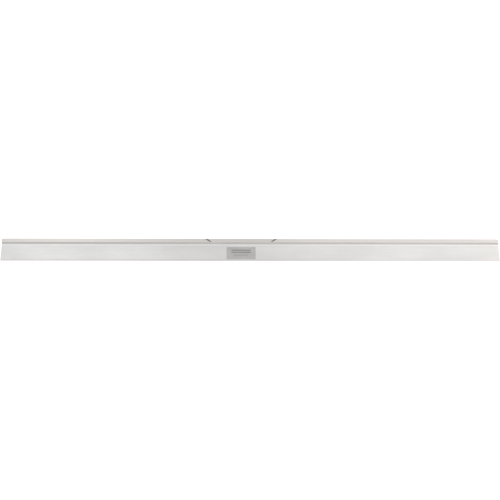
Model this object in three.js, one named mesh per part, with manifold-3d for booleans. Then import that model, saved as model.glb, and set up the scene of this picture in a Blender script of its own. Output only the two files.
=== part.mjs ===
// A magnesium bull float: one long extruded blade with a hollow rail along its back edge,
// a slotted saddle let into the rail for the handle bracket, end caps, a nameplate and screws.
// Millimetres. X runs along the blade, -Y is the leading edge, +Y the rail, Z = 0 the sole.
import * as THREE from 'three';
import { mergeVertices } from 'three/addons/utils/BufferGeometryUtils.js';
import Module from 'manifold-3d';

const wasm = await Module();
wasm.setup();

// ---- Driving dimensions ----

// Overall size of the float.
const BAR_LENGTH = 3048;
const BAR_WIDTH = 152.4;
const BAR_HEIGHT = 22;

// Blade: a plate that curves up at the leading edge.
const BLADE_THICKNESS = 5.5;
const NOSE_RUN = 18;
const NOSE_SOLE_RADIUS = 48;
const HEEL_RADIUS = 5;

// Rail: a hollow box along the back edge, drawn in one piece with the blade.
const RAIL_DEPTH = 25.5;
const RAIL_FRONT_WALL = 4;
const RAIL_WALL = 3;
const RAIL_EDGE_RADIUS = 1.5;
const RAIL_ROOT_RADIUS = 3;

// Saddle: the slotted seat for a handle bracket, set in a pocket of the rail.
const SADDLE_OFFSET_X = -55;
const SADDLE_LENGTH = 422;
const SCARF_ANGLE = THREE.MathUtils.degToRad(55);
const SEAL_THICKNESS = 7;
const SLOT_DROP = 1.2;
const SLOT_MOUTH = 5.6;
const SLOT_LIP = 3.5;
const SLOT_HEAD_HEIGHT = 9;
const SLOT_HEAD_DEPTH = 6.5;

// M4 screws with countersunk heads, for the saddle and the end caps.
const SMALL_SCREW_RADIUS = 2;
const SMALL_HEAD_RADIUS = 3.75;
const SMALL_HEAD_HEIGHT = 2.2;
const SMALL_SOCKET_ACROSS = 2.5;
const SMALL_SOCKET_DEPTH = 1.5;
const SADDLE_SCREW_GRIP = 2.1;
const SADDLE_SCREW_COUNT = 6;
const SADDLE_SCREW_SPACING = 58;
const CAP_SCREW_LENGTH = 10;

// Slot nuts and M5 clamp screws, two of each.
const CLAMP_SPACING = 250;
const NUT_LENGTH = 16;
const NUT_THICKNESS = 4;
const NUT_NECK = 2.5;
const NUT_CORNER = 1;
const CLAMP_SCREW_RADIUS = 2.5;
const CLAMP_TIP_GAP = 1.2;
const CLAMP_HEAD_RADIUS = 4.75;
const CLAMP_HEAD_HEIGHT = 2.75;
const CLAMP_HEAD_CROWN_RADIUS = 2.6;
const CLAMP_HEAD_RIM = 0.8;
const SCREW_TIP_RATIO = 0.8;
const CLAMP_SOCKET_ACROSS = 3;
const CLAMP_SOCKET_DEPTH = 1.6;
const WASHER_RADIUS = 5;
const WASHER_THICKNESS = 1;

// End caps that close the rail.
const CAP_LENGTH = 14;
const CAP_TOP_RADIUS = 10;
const CAP_PLAN_RADIUS = 6;
const SPIGOT_LENGTH = 26;
const CAP_SCREW_INSETS = [7.5, 18.5];

// Nameplate and its rivets.
const PLATE_LENGTH = 177;
const PLATE_WIDTH = 85;
const PLATE_THICKNESS = 0.8;
const PLATE_CORNER_RADIUS = 4;
const PLATE_CENTRE_Y = -17.5;
const RIVET_INSET = 6;
const RIVET_RADIUS = 1.5;
const RIVET_HEAD_RADIUS = 2.75;
const RIVET_HEAD_HEIGHT = 1;
const RIVET_DOME = [[0.8, 0.7], [0.4, 1]];
const RIVET_GRIP = 3.4;

// Clearances.
const SEAT_GAP = 0.1;
const SPIGOT_GAP = 0.2;
const THREAD_GAP = 0.08;
const BLIND_GAP = 0.3;
const SIDE_GAP = 0.3;

// How far a cutting shape runs past the face it opens.
const OVERCUT = 2;

// Points nearer than this are one point.
const SAME_POINT = 1e-4;

// Smoothness of curves.
const PROFILE_SEGMENTS = 4;
const ROUND_SEGMENTS = 32;

// ---- Sizes that follow from the above ----

const FRONT_Y = -BAR_WIDTH / 2;
const REAR_Y = BAR_WIDTH / 2;
const RAIL_FRONT_Y = REAR_Y - RAIL_DEPTH;
const HOLLOW_FRONT_Y = RAIL_FRONT_Y + RAIL_FRONT_WALL;
const HOLLOW_REAR_Y = REAR_Y - RAIL_WALL;
const HOLLOW_TOP_Z = BAR_HEIGHT - RAIL_WALL;
const NOSE_START_Y = FRONT_Y + NOSE_RUN;
const SCARF_SLOPE = Math.tan(SCARF_ANGLE);
const SEAL_SPAN = (SEAL_THICKNESS + 2 * SEAT_GAP) / Math.cos(SCARF_ANGLE);
const LIP_Y = REAR_Y - SLOT_LIP;
const SLOT_BACK_Y = LIP_Y - SLOT_HEAD_DEPTH;
const SLOT_HEIGHT_ABOVE_SOLE = (BLADE_THICKNESS + BAR_HEIGHT) / 2 - SLOT_DROP;
const SADDLE_HEAD_Y = SLOT_BACK_Y - SEAT_GAP;
const SADDLE_SCREW_LENGTH = SADDLE_HEAD_Y - HOLLOW_FRONT_Y + SADDLE_SCREW_GRIP;
const CLAMP_SEAT_Y = REAR_Y + WASHER_THICKNESS + 2 * SEAT_GAP;
const CLAMP_SCREW_LENGTH = CLAMP_SEAT_Y - SLOT_BACK_Y - CLAMP_TIP_GAP;
const CAP_HEAD_Y = REAR_Y - SEAT_GAP;
const CAP_FACE_X = BAR_LENGTH / 2 - CAP_LENGTH;
const CAP_SCREW_Z = (BLADE_THICKNESS + HOLLOW_TOP_Z) / 2;
const SIDES = { left: -1, right: 1 };

// ---- Solids from three.js shapes ----

/** Turn a closed three.js geometry into a manifold solid, leaving out triangles of no area. */
function solidOf(geometry) {
  const plain = geometry.clone();
  plain.deleteAttribute('normal');
  plain.deleteAttribute('uv');
  const merged = mergeVertices(plain, SAME_POINT);
  const index = merged.index.array;
  const triangles = [];
  for (let i = 0; i < index.length; i += 3) {
    const [a, b, c] = [index[i], index[i + 1], index[i + 2]];
    if (a !== b && b !== c && c !== a) triangles.push(a, b, c);
  }
  return new wasm.Manifold(new wasm.Mesh({
    numProp: 3,
    vertProperties: new Float32Array(merged.attributes.position.array),
    triVerts: new Uint32Array(triangles),
  }));
}

/** Points of an outline, leaving out each one that repeats the point before it. */
function distinct(points) {
  return points.filter((point, i) => {
    const before = points[(i + points.length - 1) % points.length];
    return point.distanceTo(before) > SAME_POINT;
  });
}

/** Extrude a shape and carry its two axes and the extrusion onto three row axes. */
function prism(shape, depth, axes, offset) {
  const outline = new THREE.Shape(distinct(shape.getPoints(PROFILE_SEGMENTS)));
  const geometry = new THREE.ExtrudeGeometry(outline, { depth, bevelEnabled: false });
  geometry.applyMatrix4(new THREE.Matrix4().makeBasis(...axes));
  geometry.translate(...offset);
  return solidOf(geometry);
}

/** A cross-section drawn as (y, z), running along X from x0 to x1. */
function prismX(shape, x0, x1) {
  const axes = [new THREE.Vector3(0, 1, 0), new THREE.Vector3(0, 0, 1), new THREE.Vector3(1, 0, 0)];
  return prism(shape, x1 - x0, axes, [x0, 0, 0]);
}

/** A side view drawn as (x, z), running along Y from y0 to y1. */
function prismY(shape, y0, y1) {
  const axes = [new THREE.Vector3(1, 0, 0), new THREE.Vector3(0, 0, 1), new THREE.Vector3(0, -1, 0)];
  return prism(shape, y1 - y0, axes, [0, y1, 0]);
}

/** A plan drawn as (x, y), running along Z from z0 to z1. */
function prismZ(shape, z0, z1) {
  const axes = [new THREE.Vector3(1, 0, 0), new THREE.Vector3(0, 1, 0), new THREE.Vector3(0, 0, 1)];
  return prism(shape, z1 - z0, axes, [0, 0, z0]);
}

/** A block between two corners. */
function block(low, high) {
  const size = high.map((value, axis) => value - low[axis]);
  const geometry = new THREE.BoxGeometry(...size);
  geometry.translate(...low.map((value, axis) => value + size[axis] / 2));
  return solidOf(geometry);
}

/** A turned shape from (radius, height) points, its axis along Y. */
function turned(points, segments = ROUND_SEGMENTS) {
  return solidOf(new THREE.LatheGeometry(points.map(([r, h]) => new THREE.Vector2(r, h)), segments));
}

/** A cylinder along Y between two heights. */
function cylinderY(radius, y0, y1, segments = ROUND_SEGMENTS) {
  return turned([[0, y0], [radius, y0], [radius, y1], [0, y1]], segments);
}

/** A hexagonal bar along Y, given its size across the flats. */
function hexagonY(acrossFlats, y0, y1) {
  return cylinderY(acrossFlats / Math.sqrt(3), y0, y1, 6);
}

/** A shape with straight sides from a list of points. */
function polygon(points) {
  return new THREE.Shape(points.map(([u, v]) => new THREE.Vector2(u, v)));
}

/** Make the named mesh of one sub-part. */
function meshOf(name, solid, material) {
  const { vertProperties, triVerts } = solid.getMesh();
  const geometry = new THREE.BufferGeometry();
  geometry.setAttribute('position', new THREE.BufferAttribute(new Float32Array(vertProperties), 3));
  geometry.setIndex(new THREE.BufferAttribute(new Uint32Array(triVerts), 1));
  geometry.computeVertexNormals();
  const mesh = new THREE.Mesh(geometry, material);
  mesh.name = name;
  return mesh;
}

// ---- Materials ----

function metal(color, roughness) {
  return new THREE.MeshStandardMaterial({ color, roughness, metalness: 1, flatShading: true });
}

const magnesium = () => metal(0xd2cfcc, 0.42);
const castMagnesium = () => metal(0xccc9c6, 0.5);
const anodised = () => metal(0xa9a8a8, 0.38);
const zincPlated = () => metal(0xb9bcc0, 0.3);
const darkSteel = () => metal(0x4a4b4e, 0.4);

function sealRubber() {
  return new THREE.MeshStandardMaterial({
    color: 0x4b4a49,
    roughness: 0.85,
    metalness: 0,
    flatShading: true,
  });
}

// ---- Blade ----

/** Outer cross-section of the blade and its rail, drawn as (y, z). */
function bladeSection() {
  const top = BLADE_THICKNESS;
  const middle = NOSE_SOLE_RADIUS - top / 2;
  const sweep = Math.asin((NOSE_RUN - top / 2) / middle);
  const edge = -Math.PI / 2 - sweep;
  const noseY = NOSE_START_Y + middle * Math.cos(edge);
  const noseZ = NOSE_SOLE_RADIUS + middle * Math.sin(edge);
  const shape = new THREE.Shape();
  shape.moveTo(NOSE_START_Y, 0);
  shape.lineTo(REAR_Y - HEEL_RADIUS, 0);
  shape.absarc(REAR_Y - HEEL_RADIUS, HEEL_RADIUS, HEEL_RADIUS, -Math.PI / 2, 0, false);
  addRailTop(shape, RAIL_FRONT_Y);
  shape.lineTo(RAIL_FRONT_Y, top + RAIL_ROOT_RADIUS);
  const root = RAIL_ROOT_RADIUS;
  shape.absarc(RAIL_FRONT_Y - root, top + root, root, 0, -Math.PI / 2, true);
  shape.lineTo(NOSE_START_Y, top);
  shape.absarc(NOSE_START_Y, NOSE_SOLE_RADIUS, NOSE_SOLE_RADIUS - top, -Math.PI / 2, edge, true);
  shape.absarc(noseY, noseZ, top / 2, edge + Math.PI, edge + 2 * Math.PI, false);
  shape.absarc(NOSE_START_Y, NOSE_SOLE_RADIUS, NOSE_SOLE_RADIUS, edge, -Math.PI / 2, false);
  return shape;
}

/** Continue a cross-section over the rail's two rounded top edges, from rear to front. */
function addRailTop(shape, frontY) {
  const r = RAIL_EDGE_RADIUS;
  shape.absarc(REAR_Y - r, BAR_HEIGHT - r, r, 0, Math.PI / 2, false);
  shape.absarc(frontY + r, BAR_HEIGHT - r, r, Math.PI / 2, Math.PI, false);
}

/** Half of a scarfed piece's length at depth y, given half its length at the rear face. */
function scarfHalf(rearHalf, y) {
  return rearHalf - (REAR_Y - y) * SCARF_SLOPE;
}

/** Plan of a scarfed piece centred on the saddle, drawn as (x, y). */
function scarfPlan(rearHalf, frontY, rearY) {
  const front = scarfHalf(rearHalf, frontY);
  const rear = scarfHalf(rearHalf, rearY);
  return polygon([
    [SADDLE_OFFSET_X - front, frontY],
    [SADDLE_OFFSET_X + front, frontY],
    [SADDLE_OFFSET_X + rear, rearY],
    [SADDLE_OFFSET_X - rear, rearY],
  ]);
}

/** X positions of the saddle's screws. */
function saddleScrewPositions() {
  const middle = (SADDLE_SCREW_COUNT - 1) / 2;
  return Array.from({ length: SADDLE_SCREW_COUNT }, (_, i) => (
    SADDLE_OFFSET_X + (i - middle) * SADDLE_SCREW_SPACING
  ));
}

/** The four end cap screws: their names and X positions. */
function capScrewPositions() {
  return Object.entries(SIDES).flatMap(([side, sign]) => (
    CAP_SCREW_INSETS.map((inset, i) => ({
      name: `end_cap_screw_${side}_${i + 1}`,
      x: sign * (CAP_FACE_X - inset),
    }))
  ));
}

/** The four rivets: their X and Y positions. */
function rivetPositions() {
  const halfX = PLATE_LENGTH / 2 - RIVET_INSET;
  const halfY = PLATE_WIDTH / 2 - RIVET_INSET;
  return [[-1, -1], [1, -1], [1, 1], [-1, 1]].map(([sx, sy]) => (
    [SADDLE_OFFSET_X + sx * halfX, PLATE_CENTRE_Y + sy * halfY]
  ));
}

/** A hole along Y for a countersunk screw with its head at headY, open to the rear. */
function countersunkHole(headY, length) {
  const shank = SMALL_SCREW_RADIUS + THREAD_GAP;
  const mouth = SMALL_HEAD_RADIUS + SEAT_GAP;
  return turned([
    [0, headY - length - BLIND_GAP],
    [shank, headY - length - BLIND_GAP],
    [shank, headY - SMALL_HEAD_HEIGHT - SEAT_GAP],
    [mouth, headY - SEAT_GAP],
    [mouth, REAR_Y + OVERCUT],
    [0, REAR_Y + OVERCUT],
  ]);
}

/** Blade and rail in one piece, with the saddle's pocket and every screw and rivet hole. */
function buildBlade() {
  let solid = prismX(bladeSection(), -BAR_LENGTH / 2, BAR_LENGTH / 2);
  solid = solid.subtract(block(
    [-BAR_LENGTH / 2 - OVERCUT, HOLLOW_FRONT_Y, BLADE_THICKNESS],
    [BAR_LENGTH / 2 + OVERCUT, HOLLOW_REAR_Y, HOLLOW_TOP_Z],
  ));
  const pocketRearHalf = SADDLE_LENGTH / 2 + SEAL_SPAN;
  const pocket = scarfPlan(pocketRearHalf, HOLLOW_FRONT_Y, REAR_Y + OVERCUT);
  solid = solid.subtract(prismZ(pocket, BLADE_THICKNESS, BAR_HEIGHT + OVERCUT));
  for (const sign of Object.values(SIDES)) {
    const ends = [sign * CAP_FACE_X, sign * (BAR_LENGTH / 2 + OVERCUT)];
    solid = solid.subtract(block(
      [Math.min(...ends), RAIL_FRONT_Y - RAIL_ROOT_RADIUS - OVERCUT, BLADE_THICKNESS],
      [Math.max(...ends), REAR_Y + OVERCUT, BAR_HEIGHT + OVERCUT],
    ));
  }
  for (const { x } of capScrewPositions()) {
    const hole = countersunkHole(CAP_HEAD_Y, CAP_SCREW_LENGTH);
    solid = solid.subtract(hole.translate([x, 0, CAP_SCREW_Z]));
  }
  for (const x of saddleScrewPositions()) {
    const hole = countersunkHole(SADDLE_HEAD_Y, SADDLE_SCREW_LENGTH);
    solid = solid.subtract(hole.translate([x, 0, SLOT_HEIGHT_ABOVE_SOLE]));
  }
  for (const [x, y] of rivetPositions()) {
    const depth = RIVET_GRIP + BLIND_GAP;
    const radius = RIVET_RADIUS + THREAD_GAP;
    const hole = cylinderY(radius, BLADE_THICKNESS - depth, BLADE_THICKNESS + OVERCUT);
    solid = solid.subtract(hole.rotate([90, 0, 0]).translate([x, y, 0]));
  }
  return solid;
}

// ---- Saddle and its seals ----

/** Cross-section of the saddle with its T-slot open to the rear, drawn as (y, z). */
function saddleSection() {
  const r = RAIL_EDGE_RADIUS;
  const mouthLow = SLOT_HEIGHT_ABOVE_SOLE - SLOT_MOUTH / 2;
  const mouthHigh = SLOT_HEIGHT_ABOVE_SOLE + SLOT_MOUTH / 2;
  const headLow = SLOT_HEIGHT_ABOVE_SOLE - SLOT_HEAD_HEIGHT / 2;
  const headHigh = SLOT_HEIGHT_ABOVE_SOLE + SLOT_HEAD_HEIGHT / 2;
  const shape = polygon([
    [HOLLOW_FRONT_Y + SEAT_GAP, BLADE_THICKNESS + SEAT_GAP],
    [REAR_Y, BLADE_THICKNESS + SEAT_GAP],
    [REAR_Y, mouthLow],
    [LIP_Y, mouthLow],
    [LIP_Y, headLow],
    [SLOT_BACK_Y, headLow],
    [SLOT_BACK_Y, headHigh],
    [LIP_Y, headHigh],
    [LIP_Y, mouthHigh],
    [REAR_Y, mouthHigh],
  ]);
  shape.absarc(REAR_Y - r, BAR_HEIGHT - r, r, 0, Math.PI / 2, false);
  shape.lineTo(HOLLOW_FRONT_Y + SEAT_GAP, BAR_HEIGHT);
  return shape;
}

function buildSaddle() {
  const reach = SADDLE_LENGTH / 2 + OVERCUT;
  const bar = prismX(saddleSection(), SADDLE_OFFSET_X - reach, SADDLE_OFFSET_X + reach);
  const plan = scarfPlan(SADDLE_LENGTH / 2, HOLLOW_FRONT_Y, REAR_Y + OVERCUT);
  let solid = bar.intersect(prismZ(plan, 0, BAR_HEIGHT + OVERCUT));
  for (const x of saddleScrewPositions()) {
    const hole = countersunkHole(SADDLE_HEAD_Y, SADDLE_SCREW_LENGTH);
    solid = solid.subtract(hole.translate([x, 0, SLOT_HEIGHT_ABOVE_SOLE]));
  }
  return solid;
}

/** Rubber strip that fills the slanted joint beside the saddle and plugs the rail. */
function buildSeal(sign) {
  const r = RAIL_EDGE_RADIUS;
  const inner = SADDLE_LENGTH / 2 + SEAT_GAP / Math.cos(SCARF_ANGLE);
  const outer = inner + SEAL_THICKNESS / Math.cos(SCARF_ANGLE);
  const frontY = HOLLOW_FRONT_Y + SEAT_GAP;
  const corners = [[inner, frontY], [outer, frontY], [outer, REAR_Y], [inner, REAR_Y]];
  const plan = polygon(corners.map(([half, y]) => [SADDLE_OFFSET_X + sign * scarfHalf(half, y), y]));
  const section = new THREE.Shape();
  section.moveTo(frontY, BLADE_THICKNESS + SEAT_GAP);
  section.lineTo(REAR_Y, BLADE_THICKNESS + SEAT_GAP);
  section.absarc(REAR_Y - r, BAR_HEIGHT - r, r, 0, Math.PI / 2, false);
  section.lineTo(frontY, BAR_HEIGHT);
  const reach = outer + OVERCUT;
  const bar = prismX(section, SADDLE_OFFSET_X - reach, SADDLE_OFFSET_X + reach);
  return bar.intersect(prismZ(plan, 0, BAR_HEIGHT + OVERCUT));
}

// ---- Screws ----

/** Countersunk screw along Y, its flat head at headY and its tip toward -Y. */
function countersunkScrew(headY, length) {
  const tip = SMALL_SCREW_RADIUS * SCREW_TIP_RATIO;
  const chamfer = SMALL_SCREW_RADIUS - tip;
  const body = turned([
    [0, headY - length],
    [tip, headY - length],
    [SMALL_SCREW_RADIUS, headY - length + chamfer],
    [SMALL_SCREW_RADIUS, headY - SMALL_HEAD_HEIGHT],
    [SMALL_HEAD_RADIUS, headY],
    [0, headY],
  ]);
  return body.subtract(hexagonY(SMALL_SOCKET_ACROSS, headY - SMALL_SOCKET_DEPTH, headY + OVERCUT));
}

/** Button-headed clamp screw along Y, its head against the washer. */
function buildClampScrew() {
  const seat = CLAMP_SEAT_Y;
  const tip = CLAMP_SCREW_RADIUS * SCREW_TIP_RATIO;
  const chamfer = CLAMP_SCREW_RADIUS - tip;
  const crown = seat + CLAMP_HEAD_HEIGHT;
  const shoulder = (CLAMP_HEAD_RADIUS + CLAMP_HEAD_CROWN_RADIUS) / 2 + CLAMP_HEAD_RIM / 2;
  const body = turned([
    [0, seat - CLAMP_SCREW_LENGTH],
    [tip, seat - CLAMP_SCREW_LENGTH],
    [CLAMP_SCREW_RADIUS, seat - CLAMP_SCREW_LENGTH + chamfer],
    [CLAMP_SCREW_RADIUS, seat],
    [CLAMP_HEAD_RADIUS, seat],
    [CLAMP_HEAD_RADIUS, seat + CLAMP_HEAD_RIM],
    [shoulder, crown - CLAMP_HEAD_RIM],
    [CLAMP_HEAD_CROWN_RADIUS, crown],
    [0, crown],
  ]);
  return body.subtract(hexagonY(CLAMP_SOCKET_ACROSS, crown - CLAMP_SOCKET_DEPTH, crown + OVERCUT));
}

function buildWasher() {
  const y0 = REAR_Y + SEAT_GAP;
  const hole = cylinderY(CLAMP_SCREW_RADIUS + SIDE_GAP, y0 - OVERCUT, y0 + WASHER_THICKNESS + OVERCUT);
  return cylinderY(WASHER_RADIUS, y0, y0 + WASHER_THICKNESS).subtract(hole);
}

/** T-shaped nut: a plate behind the slot's lips and a neck between them. */
function buildSlotNut() {
  const half = NUT_LENGTH / 2;
  const c = NUT_CORNER;
  const plateHalf = SLOT_HEAD_HEIGHT / 2 - SIDE_GAP;
  const neckHalf = SLOT_MOUTH / 2 - SIDE_GAP;
  const plateFront = LIP_Y - SEAT_GAP;
  const outline = polygon([
    [-half + c, -plateHalf],
    [half - c, -plateHalf],
    [half, -plateHalf + c],
    [half, plateHalf - c],
    [half - c, plateHalf],
    [-half + c, plateHalf],
    [-half, plateHalf - c],
    [-half, -plateHalf + c],
  ]);
  const plate = prismY(outline, plateFront - NUT_THICKNESS, plateFront);
  const neck = block([-half, plateFront - NUT_NECK, -neckHalf], [half, plateFront + NUT_NECK, neckHalf]);
  const bore = cylinderY(CLAMP_SCREW_RADIUS + THREAD_GAP, SLOT_BACK_Y, REAR_Y + OVERCUT);
  return plate.add(neck).subtract(bore);
}

// ---- End caps ----

/** Cap for the right-hand end: a rounded block with a spigot inside the rail. */
function buildRightCap() {
  const x0 = CAP_FACE_X + SEAT_GAP;
  const x1 = BAR_LENGTH / 2;
  const z0 = BLADE_THICKNESS + SEAT_GAP;
  const section = new THREE.Shape();
  section.moveTo(RAIL_FRONT_Y, z0);
  section.lineTo(REAR_Y, z0);
  addRailTop(section, RAIL_FRONT_Y);
  const side = new THREE.Shape();
  side.moveTo(x0, z0);
  side.lineTo(x1, z0);
  const shoulder = CAP_TOP_RADIUS;
  side.absarc(x1 - shoulder, BAR_HEIGHT - shoulder, shoulder, 0, Math.PI / 2, false);
  side.lineTo(x0, BAR_HEIGHT);
  const plan = new THREE.Shape();
  plan.moveTo(x0, RAIL_FRONT_Y);
  plan.lineTo(x1, RAIL_FRONT_Y);
  const corner = CAP_PLAN_RADIUS;
  plan.absarc(x1 - corner, REAR_Y - corner, corner, 0, Math.PI / 2, false);
  plan.lineTo(x0, REAR_Y);
  const cap = prismX(section, x0, x1)
    .intersect(prismY(side, RAIL_FRONT_Y - OVERCUT, REAR_Y + OVERCUT))
    .intersect(prismZ(plan, 0, BAR_HEIGHT + OVERCUT));
  const spigot = block(
    [CAP_FACE_X - SPIGOT_LENGTH, HOLLOW_FRONT_Y + SPIGOT_GAP, BLADE_THICKNESS + SPIGOT_GAP],
    [x0 + OVERCUT, HOLLOW_REAR_Y - SPIGOT_GAP, HOLLOW_TOP_Z - SPIGOT_GAP],
  );
  let solid = cap.add(spigot);
  for (const inset of CAP_SCREW_INSETS) {
    const hole = countersunkHole(CAP_HEAD_Y, CAP_SCREW_LENGTH);
    solid = solid.subtract(hole.translate([CAP_FACE_X - inset, 0, CAP_SCREW_Z]));
  }
  return solid;
}

// ---- Nameplate ----

function buildNameplate() {
  const halfX = PLATE_LENGTH / 2;
  const halfY = PLATE_WIDTH / 2;
  const r = PLATE_CORNER_RADIUS;
  const outline = new THREE.Shape();
  outline.absarc(halfX - r, halfY - r, r, 0, Math.PI / 2, false);
  outline.absarc(r - halfX, halfY - r, r, Math.PI / 2, Math.PI, false);
  outline.absarc(r - halfX, r - halfY, r, Math.PI, 1.5 * Math.PI, false);
  outline.absarc(halfX - r, r - halfY, r, 1.5 * Math.PI, 2 * Math.PI, false);
  const z0 = BLADE_THICKNESS + SEAT_GAP;
  let solid = prismZ(outline, z0, z0 + PLATE_THICKNESS).translate([SADDLE_OFFSET_X, PLATE_CENTRE_Y, 0]);
  for (const [x, y] of rivetPositions()) {
    const hole = cylinderY(RIVET_RADIUS + THREAD_GAP, z0 - OVERCUT, z0 + PLATE_THICKNESS + OVERCUT);
    solid = solid.subtract(hole.rotate([90, 0, 0]).translate([x, y, 0]));
  }
  return solid;
}

/** Rivet standing along Y, its domed head on the nameplate. */
function buildRivet() {
  const seat = BLADE_THICKNESS + 2 * SEAT_GAP + PLATE_THICKNESS;
  return turned([
    [0, BLADE_THICKNESS - RIVET_GRIP],
    [RIVET_RADIUS, BLADE_THICKNESS - RIVET_GRIP],
    [RIVET_RADIUS, seat],
    [RIVET_HEAD_RADIUS, seat],
    ...RIVET_DOME.map(([out, up]) => [RIVET_HEAD_RADIUS * out, seat + RIVET_HEAD_HEIGHT * up]),
    [0, seat + RIVET_HEAD_HEIGHT],
  ]);
}

// ---- Assembly ----

function assemble() {
  const group = new THREE.Group();
  const add = (name, solid, material) => group.add(meshOf(name, solid, material));

  add('float_blade', buildBlade(), magnesium());
  add('mount_saddle', buildSaddle(), castMagnesium());
  for (const [side, sign] of Object.entries(SIDES)) {
    add(`scarf_seal_${side}`, buildSeal(sign), sealRubber());
  }
  saddleScrewPositions().forEach((x, i) => {
    const screw = countersunkScrew(SADDLE_HEAD_Y, SADDLE_SCREW_LENGTH);
    add(`saddle_screw_${i + 1}`, screw.translate([x, 0, SLOT_HEIGHT_ABOVE_SOLE]), zincPlated());
  });
  for (const [side, sign] of Object.entries(SIDES)) {
    const at = [SADDLE_OFFSET_X + (sign * CLAMP_SPACING) / 2, 0, SLOT_HEIGHT_ABOVE_SOLE];
    add(`slot_nut_${side}`, buildSlotNut().translate(at), darkSteel());
    add(`clamp_washer_${side}`, buildWasher().translate(at), zincPlated());
    add(`clamp_screw_${side}`, buildClampScrew().translate(at), zincPlated());
  }
  add('end_cap_right', buildRightCap(), castMagnesium());
  add('end_cap_left', buildRightCap().mirror([1, 0, 0]), castMagnesium());
  for (const { name, x } of capScrewPositions()) {
    const screw = countersunkScrew(CAP_HEAD_Y, CAP_SCREW_LENGTH);
    add(name, screw.translate([x, 0, CAP_SCREW_Z]), zincPlated());
  }
  add('nameplate', buildNameplate(), anodised());
  rivetPositions().forEach(([x, y], i) => {
    add(`nameplate_rivet_${i + 1}`, buildRivet().rotate([90, 0, 0]).translate([x, y, 0]), zincPlated());
  });
  return group;
}

export default assemble();
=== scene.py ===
"""Looks of a magnesium bull float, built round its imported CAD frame.

Metres throughout. +X runs along the blade, -Y is the leading edge, +Y the rail, Z = 0 the sole.
"""

from __future__ import annotations
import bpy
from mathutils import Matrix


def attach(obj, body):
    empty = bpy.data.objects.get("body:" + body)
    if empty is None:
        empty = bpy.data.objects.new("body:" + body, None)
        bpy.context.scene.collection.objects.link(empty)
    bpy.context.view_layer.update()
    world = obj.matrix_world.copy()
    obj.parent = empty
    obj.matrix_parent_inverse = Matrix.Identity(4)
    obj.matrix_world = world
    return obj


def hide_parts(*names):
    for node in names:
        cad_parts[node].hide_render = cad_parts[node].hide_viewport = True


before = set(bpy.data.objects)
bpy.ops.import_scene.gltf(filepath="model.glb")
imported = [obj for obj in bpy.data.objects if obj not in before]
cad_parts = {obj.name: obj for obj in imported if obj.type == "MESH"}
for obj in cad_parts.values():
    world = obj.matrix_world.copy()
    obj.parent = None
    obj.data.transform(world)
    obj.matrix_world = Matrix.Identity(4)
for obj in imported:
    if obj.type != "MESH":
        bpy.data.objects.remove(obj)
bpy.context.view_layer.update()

import logging
import math
from contextlib import contextmanager
from dataclasses import dataclass, field
from enum import Enum
from typing import Iterable, Iterator, Sequence

import bmesh
import bpy
from mathutils import Matrix, Vector

LOG = logging.getLogger("bull_float")
MM = 0.001
ARC_STEPS = 10
ROUND_SEGMENTS = 40
HOLE_SEGMENTS = 32
RIVET_SEGMENTS = 24
OVERCUT = 3 * MM
TINY = 1e-7
WELD = 50 * TINY
UPRIGHT = Matrix.Rotation(math.pi / 2, 4, "X")
WHITE = (1.0, 1.0, 1.0, 1.0)
FLOAT_BODY = "float"

Point = tuple[float, float]
Place = tuple[float, float, float]
Colour = tuple[float, float, float, float]
Solid = bpy.types.Object
Node = bpy.types.Node
Tree = bpy.types.NodeTree
Socket = bpy.types.NodeSocket
Sockets = bpy.types.bpy_prop_collection
Paint = tuple[Socket, Socket, Socket]


class Side(Enum):
    """The two ends of the float, with the sign of X on each."""

    LEFT = -1
    RIGHT = 1

    @property
    def word(self) -> str:
        """The side's name as the CAD nodes spell it."""
        return self.name.lower()


class Carve(Enum):
    """How one solid shapes another."""

    CUT = "DIFFERENCE"
    KEEP_SHARED = "INTERSECT"
    JOIN = "UNION"


class Plane(Enum):
    """The plane an outline is drawn in, as the numbers of its two axes."""

    YZ = (1, 2)
    XZ = (0, 2)
    XY = (0, 1)

    def place(self, outline: Sequence[Point], level: float) -> list[Vector]:
        """Put a flat outline into space.

        Args:
            outline: Pairs of numbers on the plane's two axes.
            level: Where the outline lies on the third axis.

        Returns:
            One vector for each point.
        """
        first, second = self.value
        third = 3 - first - second
        points = []
        for u, v in outline:
            point = Vector((0.0, 0.0, 0.0))
            point[first], point[second], point[third] = u, v, level
            points.append(point)
        return points


# ---- Solids ----


def arc(
    centre: Point, radius: float, start: float, end: float, steps: int = ARC_STEPS
) -> list[Point]:
    """Points of an arc round a centre, from one angle in degrees to another."""
    turns = [math.radians(start + (end - start) * i / steps) for i in range(steps + 1)]
    return [(centre[0] + radius * math.cos(a), centre[1] + radius * math.sin(a)) for a in turns]


def box(low: Point, high: Point) -> list[Point]:
    """Corners of a rectangle, from its low corner round to its last."""
    return [low, (high[0], low[1]), high, (low[0], high[1])]


def rod(radius: float, low: float, high: float) -> list[Point]:
    """Profile of a plain rod for turned, as (radius, height) points."""
    return [(0.0, low), (radius, low), (radius, high), (0.0, high)]


def linked(name: str, data: bpy.types.ID) -> Solid:
    """Make an object of some data and link it into the scene."""
    thing = bpy.data.objects.new(name, data)
    bpy.context.scene.collection.objects.link(thing)
    return thing


@contextmanager
def edited(mesh: bpy.types.Mesh) -> Iterator[bmesh.types.BMesh]:
    """Open a mesh for editing and write it back.

    Args:
        mesh: The mesh.

    Yields:
        Its editable form.
    """
    shape = bmesh.new()
    shape.from_mesh(mesh)
    yield shape
    shape.to_mesh(mesh)
    shape.free()


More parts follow.
